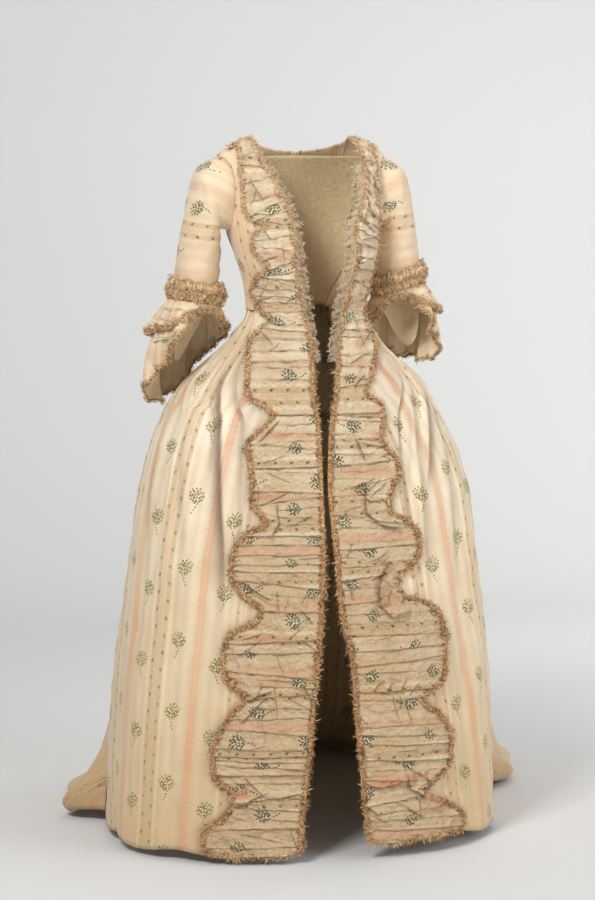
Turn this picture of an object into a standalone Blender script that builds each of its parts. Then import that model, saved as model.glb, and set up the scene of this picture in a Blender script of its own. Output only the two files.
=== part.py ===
"""Robe a la francaise: an open sack-back gown of brocaded silk, kept in its worn, hollow form.

Metres, +Z up. The gown's front faces -Y and the wearer's left is +X. The origin is between the
shoulder straps, where the wearer carries the gown, and the floor lies 1.37 m below it.
"""
import math

import bpy
import numpy as np

# ---------------------------------------------------------------- driving sizes
SHOULDER_ABOVE_FLOOR = 1.370
FLOOR = -SHOULDER_ABOVE_FLOOR
WAIST = -0.335                  # seam between bodice and skirt
HIP = -0.542                    # widest spread of the pleats over the hips
HEM = -1.350                    # front hem, 20 mm clear of the floor
SILK_WALL = 0.0020
TRIM_WALL = 0.0015
NET_WALL = 0.0010
SEAM_GAP = 0.0003
CHORD_ALLOWANCE = 0.0010        # keeps flat facets of stacked pieces apart on curved places
BODICE_SEAT = {-1: 1.6, 1: 1.2}  # chord allowances under the bodice robing, by side

# One row for each level of the body: the plan there is a squared oval.
SECTION_COLUMNS = ("height", "centre", "half_width", "front", "back", "square")
SECTION_ROWS = (
    (0.000, 0.000, 0.098, 0.010, 0.010, 2.0),
    (-0.012, 0.002, 0.132, 0.034, 0.028, 2.0),
    (-0.035, 0.003, 0.166, 0.058, 0.050, 2.1),
    (-0.080, 0.004, 0.168, 0.084, 0.075, 2.2),
    (-0.130, 0.005, 0.159, 0.106, 0.092, 2.3),
    (-0.180, 0.007, 0.150, 0.122, 0.100, 2.3),
    (-0.230, 0.009, 0.138, 0.130, 0.098, 2.2),
    (-0.285, 0.011, 0.124, 0.119, 0.088, 2.1),
    (-0.335, 0.011, 0.119, 0.108, 0.080, 2.1),
    (-0.385, 0.008, 0.147, 0.118, 0.100, 2.2),
    (-0.430, 0.006, 0.192, 0.138, 0.125, 2.3),
    (-0.481, 0.004, 0.246, 0.160, 0.150, 2.4),
    (-0.542, 0.002, 0.283, 0.180, 0.170, 2.4),
    (-0.620, 0.006, 0.316, 0.200, 0.190, 2.4),
    (-0.700, 0.008, 0.337, 0.216, 0.205, 2.4),
    (-0.812, 0.007, 0.352, 0.235, 0.225, 2.4),
    (-0.923, 0.006, 0.366, 0.252, 0.240, 2.4),
    (-1.053, 0.003, 0.380, 0.267, 0.255, 2.4),
    (-1.180, 0.000, 0.386, 0.279, 0.270, 2.4),
    (-1.355, -0.002, 0.391, 0.290, 0.280, 2.4),
)

# The ruched robings: each row is a stitched tuck, with how far the robing reaches from the
# middle line at its straight inner edge and at its serpentine outer edge.
ROBING_COLUMNS = ("height", "inner", "outer")
BODICE_ROBING_R = (
    (-0.012, 0.099, 0.126), (-0.032, 0.093, 0.130), (-0.055, 0.084, 0.130), (-0.080, 0.073, 0.129),
    (-0.105, 0.063, 0.129), (-0.128, 0.055, 0.128), (-0.147, 0.049, 0.124), (-0.160, 0.045, 0.112),
    (-0.169, 0.044, 0.088), (-0.190, 0.042, 0.113), (-0.214, 0.040, 0.112), (-0.234, 0.039, 0.096),
    (-0.249, 0.038, 0.084), (-0.266, 0.034, 0.100), (-0.297, 0.027, 0.106), (-0.318, 0.021, 0.100),
    (-0.337, 0.018, 0.089), (-0.352, 0.015, 0.076), (-0.371, 0.012, 0.098), (-0.390, 0.011, 0.117),
    (-0.420, 0.010, 0.128), (-0.450, 0.012, 0.136), (-0.484, 0.016, 0.141), (-0.519, 0.015, 0.131),
)
BODICE_ROBING_L = (
    (-0.012, 0.101, 0.130), (-0.034, 0.106, 0.138), (-0.056, 0.109, 0.140), (-0.082, 0.107, 0.140),
    (-0.109, 0.103, 0.139), (-0.130, 0.096, 0.138), (-0.149, 0.087, 0.138), (-0.168, 0.078, 0.137),
    (-0.188, 0.074, 0.137), (-0.213, 0.082, 0.137), (-0.236, 0.080, 0.134), (-0.257, 0.075, 0.129),
    (-0.278, 0.070, 0.123), (-0.302, 0.065, 0.114), (-0.335, 0.058, 0.108), (-0.356, 0.053, 0.111),
    (-0.383, 0.046, 0.124), (-0.405, 0.042, 0.126), (-0.427, 0.039, 0.117), (-0.458, 0.032, 0.106),
    (-0.487, 0.027, 0.088), (-0.519, 0.019, 0.120),
)
SKIRT_ROBING_R = (
    (-0.527, 0.011, 0.091), (-0.554, 0.011, 0.119), (-0.578, 0.010, 0.148), (-0.612, 0.011, 0.147),
    (-0.650, 0.011, 0.145), (-0.690, 0.012, 0.146), (-0.711, 0.012, 0.132), (-0.730, 0.012, 0.121),
    (-0.752, 0.012, 0.164), (-0.788, 0.013, 0.187), (-0.830, 0.016, 0.190), (-0.863, 0.018, 0.168),
    (-0.890, 0.020, 0.138), (-0.914, 0.022, 0.150), (-0.932, 0.024, 0.192), (-0.966, 0.028, 0.207),
    (-1.000, 0.034, 0.210), (-1.027, 0.036, 0.200), (-1.053, 0.040, 0.168), (-1.083, 0.044, 0.195),
    (-1.131, 0.048, 0.224), (-1.176, 0.054, 0.233), (-1.206, 0.058, 0.230), (-1.228, 0.061, 0.205),
    (-1.253, 0.064, 0.198), (-1.282, 0.068, 0.217), (-1.303, 0.070, 0.248), (-1.350, 0.072, 0.254),
)
SKIRT_ROBING_L = (
    (-0.527, 0.016, 0.122), (-0.552, 0.012, 0.120), (-0.577, 0.008, 0.109), (-0.595, 0.006, 0.122),
    (-0.618, 0.004, 0.143), (-0.644, 0.002, 0.147), (-0.668, 0.001, 0.130), (-0.697, 0.002, 0.121),
    (-0.719, 0.003, 0.126), (-0.733, 0.004, 0.160), (-0.760, 0.006, 0.180), (-0.790, 0.009, 0.182),
    (-0.818, 0.010, 0.160), (-0.837, 0.011, 0.130), (-0.874, 0.012, 0.141), (-0.893, 0.014, 0.198),
    (-0.920, 0.018, 0.224), (-0.956, 0.026, 0.228), (-1.002, 0.034, 0.231), (-1.042, 0.036, 0.224),
    (-1.072, 0.037, 0.175), (-1.108, 0.039, 0.217), (-1.150, 0.042, 0.240), (-1.202, 0.047, 0.236),
    (-1.254, 0.050, 0.171), (-1.273, 0.052, 0.216), (-1.297, 0.054, 0.254), (-1.320, 0.056, 0.270),
    (-1.350, 0.058, 0.268),
)

# One row for each line down a front skirt, from the opening (0) to the side seam (1): where it
# lies at the waist, hip and hem, and how many millimetres a pleat takes it in at each.
SKIRT_LINE_COLUMNS = ("waist", "hip", "hem", "waist_tuck", "hip_tuck", "hem_tuck")
SKIRT_LINES = (
    (0.00, 0.000, 0.000, 0, 0, 0),
    (0.12, 0.085, 0.070, 0, 0, 0),
    (0.24, 0.170, 0.140, 0, 0, 0),
    (0.36, 0.260, 0.215, 0, 0, 0),
    (0.47, 0.345, 0.290, 0, 0, 0),      # folded edge of the front flap
    (0.50, 0.365, 0.345, 8, 9, 1),
    (0.55, 0.410, 0.390, 6, 8, 5),
    (0.60, 0.455, 0.440, 0, 2, 7),      # second pleat
    (0.63, 0.475, 0.490, 7, 7, 1),
    (0.69, 0.535, 0.545, 4, 4, -6),
    (0.74, 0.590, 0.605, 0, 0, -7),     # third pleat
    (0.77, 0.615, 0.655, 6, 5, 0),
    (0.83, 0.690, 0.715, 2, 3, 6),
    (0.88, 0.760, 0.780, 0, 0, 6),      # fourth pleat
    (0.91, 0.785, 0.840, 5, 4, 0),
    (0.95, 0.880, 0.920, 2, 2, -4),
    (1.00, 1.000, 1.000, 0, 0, 0),
)
SKIRT_LEVELS = (-0.3353, -0.358, -0.385, -0.430, -0.481, -0.542, -0.620, -0.700, -0.812, -0.923,
                -1.053, -1.180, -1.270, HEM)

# Angles behind the side of the body where front and back meet, by level.
LINING_INSET = 0.0024
FRONT_LAP = 7.0                         # degrees that the bodice front runs on under the sack
SEAM_COLUMNS = ("height", "angle")
SIDE_SEAM = ((-0.180, 12.0), (-0.230, 22.0), (-0.285, 35.0), (-0.335, 45.0), (-0.430, 38.0),
             (-0.542, 27.0), (-0.800, 22.0), (-1.355, 20.0))

# The sack back, one row for each line from the side edge (0) to the centre back (1): its share of
# the way at the neck and at the hem, and how far the pleat stands out there, in millimetres.
SACK_LINE_COLUMNS = ("neck", "hem", "neck_rise", "waist_rise", "hem_rise")
SACK_LINES = (
    (0.000, 0.00, 0.0, 0, 0),
    (0.140, 0.07, 0.0, 1, 18),
    (0.270, 0.14, 0.0, 2, 14),
    (0.410, 0.20, 0.0, 1, -16),
    (0.440, 0.28, 4.0, 15, 16),         # under layer of the double box pleat
    (0.490, 0.34, 4.0, 16, 30),
    (0.520, 0.41, 9.0, 27, 10),         # upper layer
    (0.620, 0.50, 9.5, 29, -18),
    (0.800, 0.63, 9.5, 31, 26),
    (0.930, 0.75, 9.0, 27, 18),
    (0.955, 0.85, 3.5, 8, -14),
    (0.985, 0.93, 0.0, -3, -22),
    (1.000, 1.00, 0.0, -5, -14),
)
# Levels of the sack back: height at its side edges and at the centre, how far back the centre
# falls, how much of the free fall it has, and how far the train stands out on each side.
SACK_LEVEL_COLUMNS = ("edge", "centre", "depth", "free", "right", "left")
SACK_LEVELS = (
    (-0.0593, -0.0593, 0.070, 0.00, 0.000, 0.000),
    (-0.0902, -0.0902, 0.083, 0.00, 0.000, 0.000),
    (-0.1258, -0.1258, 0.099, 0.00, 0.000, 0.000),
    (-0.1567, -0.1567, 0.109, 0.00, 0.000, 0.000),
    (-0.1820, -0.1820, 0.116, 0.00, 0.000, 0.000),
    (-0.2250, -0.2250, 0.132, 0.35, 0.002, 0.004),
    (-0.2800, -0.2800, 0.151, 0.75, 0.006, 0.011),
    (-0.3350, -0.3350, 0.172, 1.00, 0.008, 0.015),
    (-0.3850, -0.3850, 0.192, 1.00, 0.006, 0.014),
    (-0.4300, -0.4300, 0.211, 1.00, 0.003, 0.012),
    (-0.4810, -0.4810, 0.232, 1.00, 0.000, 0.012),
    (-0.5420, -0.5420, 0.258, 1.00, 0.000, 0.015),
    (-0.6200, -0.6220, 0.290, 1.00, -0.006, 0.021),
    (-0.7000, -0.7060, 0.322, 1.00, -0.012, 0.030),
    (-0.8120, -0.8250, 0.368, 1.00, -0.018, 0.048),
    (-0.9230, -0.9450, 0.416, 1.00, -0.020, 0.078),
    (-1.0530, -1.0850, 0.480, 1.00, -0.016, 0.125),
    (-1.1800, -1.2250, 0.556, 1.00, 0.004, 0.175),
    (-1.2700, -1.3250, 0.655, 1.00, 0.030, 0.225),
    (-1.3440, -1.3660, 0.790, 1.00, 0.062, 0.265),
)
TRAIN_SHARE = 0.55                      # part of each half of the back that spreads
TRAIN_SWEEP = 0.060                     # the train drifts to the wearer's left
SACK_SQUARE = {-1: 1.8, 1: 2.2}
SHOULDER_STEPS = (0.0, 0.2, 0.5)        # rows between the neck edge and the first level
SHOULDER = {"reach": 0.166, "height": -0.035}
NECK_DIP = 0.030                        # centre back neck below the shoulder seams
NECK_FLAT = 0.35                        # share of the pleats' height left where the neck is sewn
BODICE_ROWS, BODICE_COLUMNS = 15, 9
ARMHOLE_ROWS = 8                        # spans of the bodice front that end at the armhole
CHEST = -0.175                          # height of the neck edge in line with the armhole's foot
UNDERARM_SIDE = (-0.1825, -12.0)        # height and angle where the side seam meets the armhole
ARMHOLE = {"height": -0.108, "half_height": 0.0725, "reach": 0.34}
SACK_GAP = 0.008                        # turn left between the armhole and the sack's edge
SLEEVE_GAP = 0.009                      # turn left between the armhole and the sleeve
SLEEVE_RISE = 0.0032                    # the same above and below it, in metres

# Sleeve rings on the wearer's left, mirrored for the right. lean lifts the outer side.
SLEEVE_COLUMNS = ("height", "centre", "back", "across", "deep", "lean")
SLEEVE_RINGS = (
    (-0.1180, 0.1845, 0.000, 0.0215, 0.0560, 0.0580),
    (-0.1500, 0.1910, 0.002, 0.0315, 0.0560, 0.0400),
    (-0.1800, 0.1960, 0.007, 0.0365, 0.0550, 0.0180),
    (-0.2150, 0.1985, 0.012, 0.0415, 0.0530, 0.0050),
    (-0.2500, 0.2015, 0.016, 0.0440, 0.0515, 0.0030),
    (-0.3200, 0.2060, 0.020, 0.0440, 0.0510, 0.0030),
)
ARM_SIDES = 24                          # facets round the arm, shared by all that rings it
ELBOW_RISE = {-1: 0.0, 1: 0.022}        # the wearer's left arm is held higher
TONGUE_DROP = 0.115                     # the sleeve's rounded point behind the elbow
FLOUNCES = {
    "upper": {"inset": 0.0035, "short": 0.040, "long": {-1: 0.024, 1: 0.010}, "mouth": 0.016,
              "flare": 0.057, "curl": 1.5, "wave": 0.0045},
    "lower": {"inset": 0.0005, "short": 0.046, "long": {-1: 0.155, 1: 0.112}, "mouth": 0.008,
              "flare": 0.050, "curl": 2.0, "wave": 0.0055},
}
FLOUNCE_WAVES = 6
FLOUNCE_FRONT = 105.0                   # the forearm leaves the flounces here, where they are short
FLOUNCE_TURN = -40.0                    # the flounces hang longest behind the outer elbow
FLOUNCE_TOP = -0.3200
FLOUNCE_ROWS = (0.0, 0.28, 0.62, 1.0)
CUFF = {"inset": 0.0006, "top": -0.281, "bottom": -0.3185, "puff": 0.0085, "gather": 0.0018}

TUCK_LIFT = 0.0050                      # how far the robing puffs between two tucks
STRAND = {"length": 0.009, "root": 0.0035, "strip": 0.003, "height": 0.0020, "rise": 0.0045,
          "rest": 7}                      # every seventh point of a strip is left without a strand
FRINGE_GAP = 0.0010                     # beside the curved edges of the fronts
CORNER_LIMIT = 0.6                      # keeps the strip's corners from running to a spike
NOTCH = 0.45                            # no strand stands in a corner turned in more than this
FLOUNCE_FRINGE_GAP = 0.0010
NET = {"top": -0.050, "bottom": -0.430, "width": 0.014, "wave": 0.0040, "waves": 14}

COLOURS = {
    "silk": (0.80, 0.66, 0.46),
    "trim": (0.72, 0.56, 0.38),
    "fly_fringe": (0.42, 0.28, 0.16),
    "net": (0.60, 0.53, 0.42),
    "linen": (0.70, 0.60, 0.45),
}


# ---------------------------------------------------------------- tables and curves
def table(columns, rows):
    """Named columns of a table, ordered by rising first column."""
    values = np.array(sorted(rows), dtype=float)
    return {name: values[:, i] for i, name in enumerate(columns)}


def smooth(xs, ys, x):
    """Monotone cubic through the points, so the surface has no bumps between rows."""
    steps = np.diff(xs)
    slopes = np.diff(ys) / steps
    tangents = np.zeros_like(ys)
    tangents[0], tangents[-1] = slopes[0], slopes[-1]
    same = slopes[:-1] * slopes[1:] > 0
    mean = 2 * slopes[:-1] * slopes[1:] / np.where(same, slopes[:-1] + slopes[1:], 1.0)
    tangents[1:-1] = np.where(same, mean, 0.0)
    x = np.clip(x, xs[0], xs[-1])
    i = np.clip(np.searchsorted(xs, x) - 1, 0, len(xs) - 2)
    h = steps[i]
    t = (x - xs[i]) / h
    return ((1 + 2 * t) * (1 - t) ** 2 * ys[i] + t * (1 - t) ** 2 * h * tangents[i]
            + t * t * (3 - 2 * t) * ys[i + 1] + t * t * (t - 1) * h * tangents[i + 1])


SECTIONS = table(SECTION_COLUMNS, SECTION_ROWS)
SEAM = table(SEAM_COLUMNS, SIDE_SEAM)
# The skirt runs straight between its levels, and whatever lies on it follows the same facets.
KNOTS = np.concatenate([SKIRT_LEVELS[::-1], np.arange(-0.330, 0.0001, 0.005)])
KNOT_VALUES = {name: smooth(SECTIONS["height"], SECTIONS[name], KNOTS) for name in SECTION_COLUMNS}


def section(name, height):
    return np.interp(height, KNOTS, KNOT_VALUES[name])


def body_point(turn, height):
    """Point on the body's plan: turn 0 is the left side, 90 degrees the front, 180 the right."""
    cos, sin = np.cos(turn), np.sin(turn)
    depth = np.where(sin >= 0, section("front", height), section("back", height))
    power = section("square", height)
    radius = ((np.abs(cos) / section("half_width", height)) ** power
              + (np.abs(sin) / depth) ** power) ** (-1 / power)
    return np.stack([section("centre", height) + radius * cos, -radius * sin,
                     height + np.zeros_like(radius)], axis=-1)


def unit(vectors):
    return vectors / np.linalg.norm(vectors, axis=-1, keepdims=True)


def lifted(turn, height, out):
    """Point moved out from the body along its normal."""
    turn, height, out = np.broadcast_arrays(np.asarray(turn, float), np.asarray(height, float),
                                            np.asarray(out, float))
    step = 1e-4
    along = body_point(turn + step, height) - body_point(turn - step, height)
    down = body_point(turn, height - step) - body_point(turn, height + step)
    return body_point(turn, height) + unit(np.cross(along, down)) * out[..., None]


def turn_at(side, reach, height):
    """Turn of the front point that lies reach from the middle, towards side (+1 is left)."""
    half, power = section("half_width", height), section("square", height)
    offset = side * reach - section("centre", height)
    share = np.clip(np.abs(offset) / half, 0, 0.985)
    depth = section("front", height) * (1 - share ** power) ** (1 / power)
    return np.arctan2(depth, np.sign(offset) * share * half)


def mirrored(side, turn):
    """A turn given for the wearer's left, used on either side."""
    return turn if side > 0 else math.pi - turn


def robing_edge(side, height, column):
    upper, lower = (BODICE_ROBING_L, SKIRT_ROBING_L) if side > 0 else (BODICE_ROBING_R, SKIRT_ROBING_R)
    edge = table(ROBING_COLUMNS, upper + lower)
    return np.interp(height, edge["height"], edge[column])


def armhole_turn(height):
    share = np.clip((height - ARMHOLE["height"]) / ARMHOLE["half_height"], -1, 1)
    return ARMHOLE["reach"] * np.sqrt(1 - share * share)


# ---------------------------------------------------------------- making solids
def material(kind):
    name = kind + "_cloth"
    made = bpy.data.materials.get(name)
    if made is None:
        made = bpy.data.materials.new(name)
        made.use_nodes = True
        shader = made.node_tree.nodes["Principled BSDF"]
        shader.inputs["Base Color"].default_value = (*COLOURS[kind], 1.0)
        shader.inputs["Roughness"].default_value = 0.75
        shader.inputs["Metallic"].default_value = 0.0
    return made


def solid(name, points, faces, kind):
    """One closed body, turned so that its faces point out."""
    points = np.asarray(points, dtype=float)
    volume = 0.0
    for face in faces:
        for b, c in zip(face[1:-1], face[2:]):
            volume += np.dot(points[face[0]], np.cross(points[b], points[c]))
    if volume < 0:
        faces = [tuple(reversed(face)) for face in faces]
    mesh = bpy.data.meshes.new(name)
    mesh.from_pydata([tuple(p) for p in points], [], faces)
    mesh.shade_smooth()
    mesh.set_sharp_from_angle(angle=math.radians(40))
    made = bpy.data.objects.new(name, mesh)
    made.data.materials.append(material(kind))
    bpy.context.collection.objects.link(made)
    return made


def shell(name, outer, inner, kind, ring=False):
    """A wall between two grids of points; a ring closes on itself along its columns."""
    rows, columns = outer.shape[:2]
    spans = columns if ring else columns - 1
    count = rows * columns

    def at(row, column, layer):
        return layer * count + row * columns + column % columns

    faces = []
    for i in range(rows - 1):
        for j in range(spans):
            faces.append((at(i, j, 0), at(i + 1, j, 0), at(i + 1, j + 1, 0), at(i, j + 1, 0)))
            faces.append((at(i, j, 1), at(i, j + 1, 1), at(i + 1, j + 1, 1), at(i + 1, j, 1)))
    for j in range(spans):
        faces.append((at(0, j, 0), at(0, j + 1, 0), at(0, j + 1, 1), at(0, j, 1)))
        faces.append((at(rows - 1, j, 0), at(rows - 1, j, 1),
                      at(rows - 1, j + 1, 1), at(rows - 1, j + 1, 0)))
    if not ring:
        for i in range(rows - 1):
            last = columns - 1
            faces.append((at(i, 0, 0), at(i, 0, 1), at(i + 1, 0, 1), at(i + 1, 0, 0)))
            faces.append((at(i, last, 0), at(i + 1, last, 0), at(i + 1, last, 1), at(i, last, 1)))
    return solid(name, np.concatenate([outer.reshape(-1, 3), inner.reshape(-1, 3)]), faces, kind)


def grid_normals(grid, ring=False):
    """Outward normals of a grid whose columns turn with the body and whose rows go down."""
    if ring:
        along = np.roll(grid, -1, axis=1) - np.roll(grid, 1, axis=1)
    else:
        along = np.gradient(grid, axis=1)
    return unit(np.cross(along, np.gradient(grid, axis=0)))


# ---------------------------------------------------------------- bodice
def bodice_edge_heights():
    """Heights down the neck edge of a bodice front, closer together over the shoulder."""
    over_shoulder = CHEST * np.linspace(0, 1, ARMHOLE_ROWS + 1) ** 1.25
    below = np.linspace(CHEST, WAIST, BODICE_ROWS - ARMHOLE_ROWS)[1:]
    return np.minimum(np.concatenate([over_shoulder, below]), -0.0005)


def bodice_side():
    """Turns and heights down the other edge: round the armhole, then down the side seam."""
    round_armhole = np.linspace(0, math.pi, ARMHOLE_ROWS + 1)
    hole_height = ARMHOLE["height"] + ARMHOLE["half_height"] * np.cos(round_armhole)
    hole_turn = ARMHOLE["reach"] * np.sin(round_armhole)
    hole_turn[0] = math.radians(1)
    top, angle = UNDERARM_SIDE
    seam_height = np.linspace(top, WAIST, BODICE_ROWS - ARMHOLE_ROWS - 1)
    seam_turn = -np.radians(smooth(SEAM["height"], SEAM["angle"], seam_height) + FRONT_LAP)
    seam_turn[0] = math.radians(angle)
    return np.concatenate([hole_turn, seam_turn]), np.concatenate([hole_height, seam_height])


def panel_edge(side, heights):
    """Reach of the front panels' edge, which runs straight between their rows."""
    rows = np.concatenate([bodice_edge_heights(), SKIRT_LEVELS])[::-1]
    return np.interp(heights, rows, robing_edge(side, rows, "inner"))


def bodice_front(side, name):
    """Front panel from the neck edge round under the arm, cut away for the armhole."""
    edge_height = bodice_edge_heights()
    side_turn, side_height = bodice_side()
    neck_turn = turn_at(1, robing_edge(side, edge_height, "inner"), edge_height)
    if side < 0:
        neck_turn = math.pi - turn_at(-1, robing_edge(side, edge_height, "inner"), edge_height)
    neck_turn[0] = math.radians(1)
    across = np.linspace(0, 1, BODICE_COLUMNS)[None, :]
    turn = neck_turn[:, None] * (1 - across) + side_turn[:, None] * across
    height = edge_height[:, None] * (1 - across) + side_height[:, None] * across
    height = np.maximum(height, WAIST + SEAM_GAP)
    turn = mirrored(side, turn)
    if side > 0:
        turn, height = turn[:, ::-1], height[:, ::-1]
    return shell(name, lifted(turn, height, 0), lifted(turn, height, -SILK_WALL), "silk")


# ---------------------------------------------------------------- skirt
def skirt_lines(height):
    """Shares and tucks of every line of the front skirt at one height."""
    lines = {name: np.array(column) for name, column in zip(SKIRT_LINE_COLUMNS, zip(*SKIRT_LINES))}
    below_waist = np.clip((WAIST - height) / (WAIST - HIP), 0, 1)
    below_hip = np.clip((HIP - height) / (HIP - HEM), 0, 1) ** 0.8
    share = lines["waist"] + (lines["hip"] - lines["waist"]) * below_waist
    share = share + (lines["hem"] - lines["hip"]) * below_hip
    tuck = lines["waist_tuck"] + (lines["hip_tuck"] - lines["waist_tuck"]) * below_waist
    tuck = tuck + (lines["hem_tuck"] - lines["hip_tuck"]) * below_hip
    return share, tuck * 0.001


def skirt_front(side, name):
    turns, heights, tucks = [], [], []
    for height in SKIRT_LEVELS:
        share, tuck = skirt_lines(height)
        opening = turn_at(side, robing_edge(side, height, "inner"), height)
        opening = opening if side > 0 else math.pi - opening
        seam = -math.radians(smooth(SEAM["height"], SEAM["angle"], height))
        turns.append(mirrored(side, opening + (seam - opening) * share))
        heights.append(np.full_like(share, height))
        tucks.append(-tuck)
    turn, height, tuck = np.array(turns), np.array(heights), np.array(tucks)
    if side > 0:
        turn, height, tuck = turn[:, ::-1], height[:, ::-1], tuck[:, ::-1]
    return shell(name, lifted(turn, height, tuck), lifted(turn, height, tuck - SILK_WALL), "silk")


# ---------------------------------------------------------------- sack back and train
def sack_edge_turn(height):
    """How far behind the side the sack's edge lies: armhole first, then the side seam."""
    low = ARMHOLE["height"] - ARMHOLE["half_height"]
    seam = np.radians(smooth(SEAM["height"], SEAM["angle"], height))
    return np.where(height > low, armhole_turn(height) + SACK_GAP, seam - 0.03)


def back_turn(reach, height):
    """Turn of the point behind the side line that lies reach from the middle."""
    share = np.clip(reach / section("half_width", height), 0, 0.995)
    power = section("square", height)
    return np.arctan2(section("back", height) * (1 - share ** power) ** (1 / power), reach)


def spread_turns(start, height, share):
    """Turns from the sack's edge to the centre back, even along the oval plan."""
    half, depth, power = (section(name, height) for name in ("half_width", "back", "square"))
    first = np.arctan((np.tan(start) * half / depth) ** (power / 2))
    angle = first + (math.pi / 2 - first) * share
    return np.arctan2(depth * np.sin(angle) ** (2 / power), half * np.cos(angle) ** (2 / power))


def sack_half(side):
    """Outer points of one half of the back, rows going down, columns from side edge to centre."""
    lines = {name: np.array(column) for name, column in zip(SACK_LINE_COLUMNS, zip(*SACK_LINES))}
    base = SILK_WALL + SEAM_GAP + 0.9 * CHORD_ALLOWANCE
    rows = []
    half = section("half_width", 0.0)
    reach = SHOULDER["reach"] * (1 - lines["neck"])
    dip = NECK_DIP * np.sqrt(np.clip(1 - (reach / half) ** 2, 0, 1))
    slope = SHOULDER["height"] * (reach - half) / (SHOULDER["reach"] - half)
    neck_height = np.where(reach < half, -dip, slope)
    neck_height = np.minimum(neck_height, -0.0012)
    first = SACK_LEVELS[0][0]
    first_turn = spread_turns(sack_edge_turn(np.array(first)), first, lines["neck"])
    first_reach = body_point(-first_turn, first)[:, 0] - section("centre", first)
    for step in SHOULDER_STEPS:
        height = neck_height + (first - neck_height) * step
        turn = back_turn(reach + (first_reach - reach) * step, height)
        rise = lines["neck_rise"] * 0.001 * (NECK_FLAT + (1 - NECK_FLAT) * step)
        rows.append(lifted(mirrored(side, -turn), height, base + rise))
    for edge, centre, depth, free, *spread in SACK_LEVELS:
        fall = np.clip((edge - SACK_LEVELS[0][0]) / (HEM - SACK_LEVELS[0][0]), 0, 1)
        share = lines["neck"] + (lines["hem"] - lines["neck"]) * fall ** 0.7
        to_waist = np.clip(edge / WAIST, 0, 1)
        to_hem = np.clip((WAIST - edge) / (WAIST - HEM), 0, 1)
        rise = lines["neck_rise"] + (lines["waist_rise"] - lines["neck_rise"]) * to_waist ** 2
        rise = (rise + (lines["hem_rise"] - lines["waist_rise"]) * to_hem ** 1.6) * 0.001
        start = sack_edge_turn(np.array(edge))
        turn = mirrored(side, -spread_turns(start, edge, share))
        fitted = lifted(turn, np.full_like(share, edge), base + rise)
        corner = lifted(mirrored(side, -start), edge, base)
        quarter = share * math.pi / 2
        lobe = np.sin(np.clip(share / TRAIN_SHARE, 0, 1) * math.pi) ** 1.2 * spread[(side + 1) // 2]
        middle = TRAIN_SWEEP * to_hem ** 2
        wide = np.cos(quarter) ** (2 / SACK_SQUARE[side])
        deep = np.sin(quarter) ** (2 / SACK_SQUARE[side])
        settle = np.clip(share / 0.16, 0, 1)
        fallen = np.stack([middle + (corner[0] - middle) * wide,
                           corner[1] + (depth - corner[1]) * deep,
                           edge + (centre - edge) * settle * settle * (3 - 2 * settle)], axis=-1)
        away = np.stack([side * wide ** 0.5, deep ** 1.5, np.zeros_like(share)], axis=-1)
        fallen = fallen + unit(away) * (rise + lobe)[:, None]
        fallen[0] = corner
        mixed = fitted * (1 - free) + fallen * free
        mixed[:, 2] = np.maximum(mixed[:, 2], FLOOR + SILK_WALL + 0.0004)
        rows.append(mixed)
    return np.array(rows)


def sack_back(name):
    right, left = sack_half(-1), sack_half(1)
    middle = (right[:, -1:] + left[:, -1:]) / 2
    outer = np.concatenate([right[:, :-1], middle, left[:, :-1][:, ::-1]], axis=1)
    inner = outer - grid_normals(outer) * SILK_WALL
    inner[:, :, 2] = np.maximum(inner[:, :, 2], FLOOR + 0.0002)
    return shell(name, outer, inner, "silk")


def back_lining(name):
    """Fitted linen back under the sack, from armhole to armhole."""
    rows, columns = 9, 13
    share = np.linspace(0, 1, rows)
    low = ARMHOLE["height"] - ARMHOLE["half_height"]
    side_height = np.where(share <= 0.5, ARMHOLE["height"]
                           + ARMHOLE["half_height"] * np.cos(math.pi * (0.04 + 0.96 * share / 0.5)),
                           low + (WAIST + 0.004 - low) * (share - 0.5) / 0.5)
    seam = np.radians(smooth(SEAM["height"], SEAM["angle"], side_height) + FRONT_LAP) + 0.024
    start = np.where(side_height > low + 0.001, armhole_turn(side_height), seam)
    centre_height = np.linspace(-NECK_DIP - 0.004, WAIST + 0.004, rows)
    across = np.abs(np.linspace(-1, 1, columns))[None, :]
    signs = np.linspace(-1, 1, columns)[None, :]
    turn = -math.pi / 2 - signs * (math.pi / 2 - start[:, None])
    height = centre_height[:, None] + (side_height - centre_height)[:, None] * across ** 2
    out = -LINING_INSET
    return shell(name, lifted(turn, height, out), lifted(turn, height, out - TRIM_WALL), "linen")


# ---------------------------------------------------------------- sleeves, cuffs and flounces
def arm_ring(side, height, inset, ring):
    """Ring round the arm at a height, inset metres outside the sleeve's outer surface."""
    rings = table(SLEEVE_COLUMNS, SLEEVE_RINGS)
    value = {name: np.interp(height, rings["height"], rings[name]) for name in SLEEVE_COLUMNS}
    x = side * (value["centre"] + (value["across"] + inset) * np.cos(ring))
    y = value["back"] - (value["deep"] + inset) * np.sin(ring)
    return np.stack([x, y, height + value["lean"] * np.cos(ring)], axis=-1)


def ring_angles():
    return np.arange(ARM_SIDES) * 2 * math.pi / ARM_SIDES


def oriented(side, grid):
    """Columns of the right arm run the other way, so that walls face out."""
    return grid if side > 0 else grid[:, ::-1]


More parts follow.
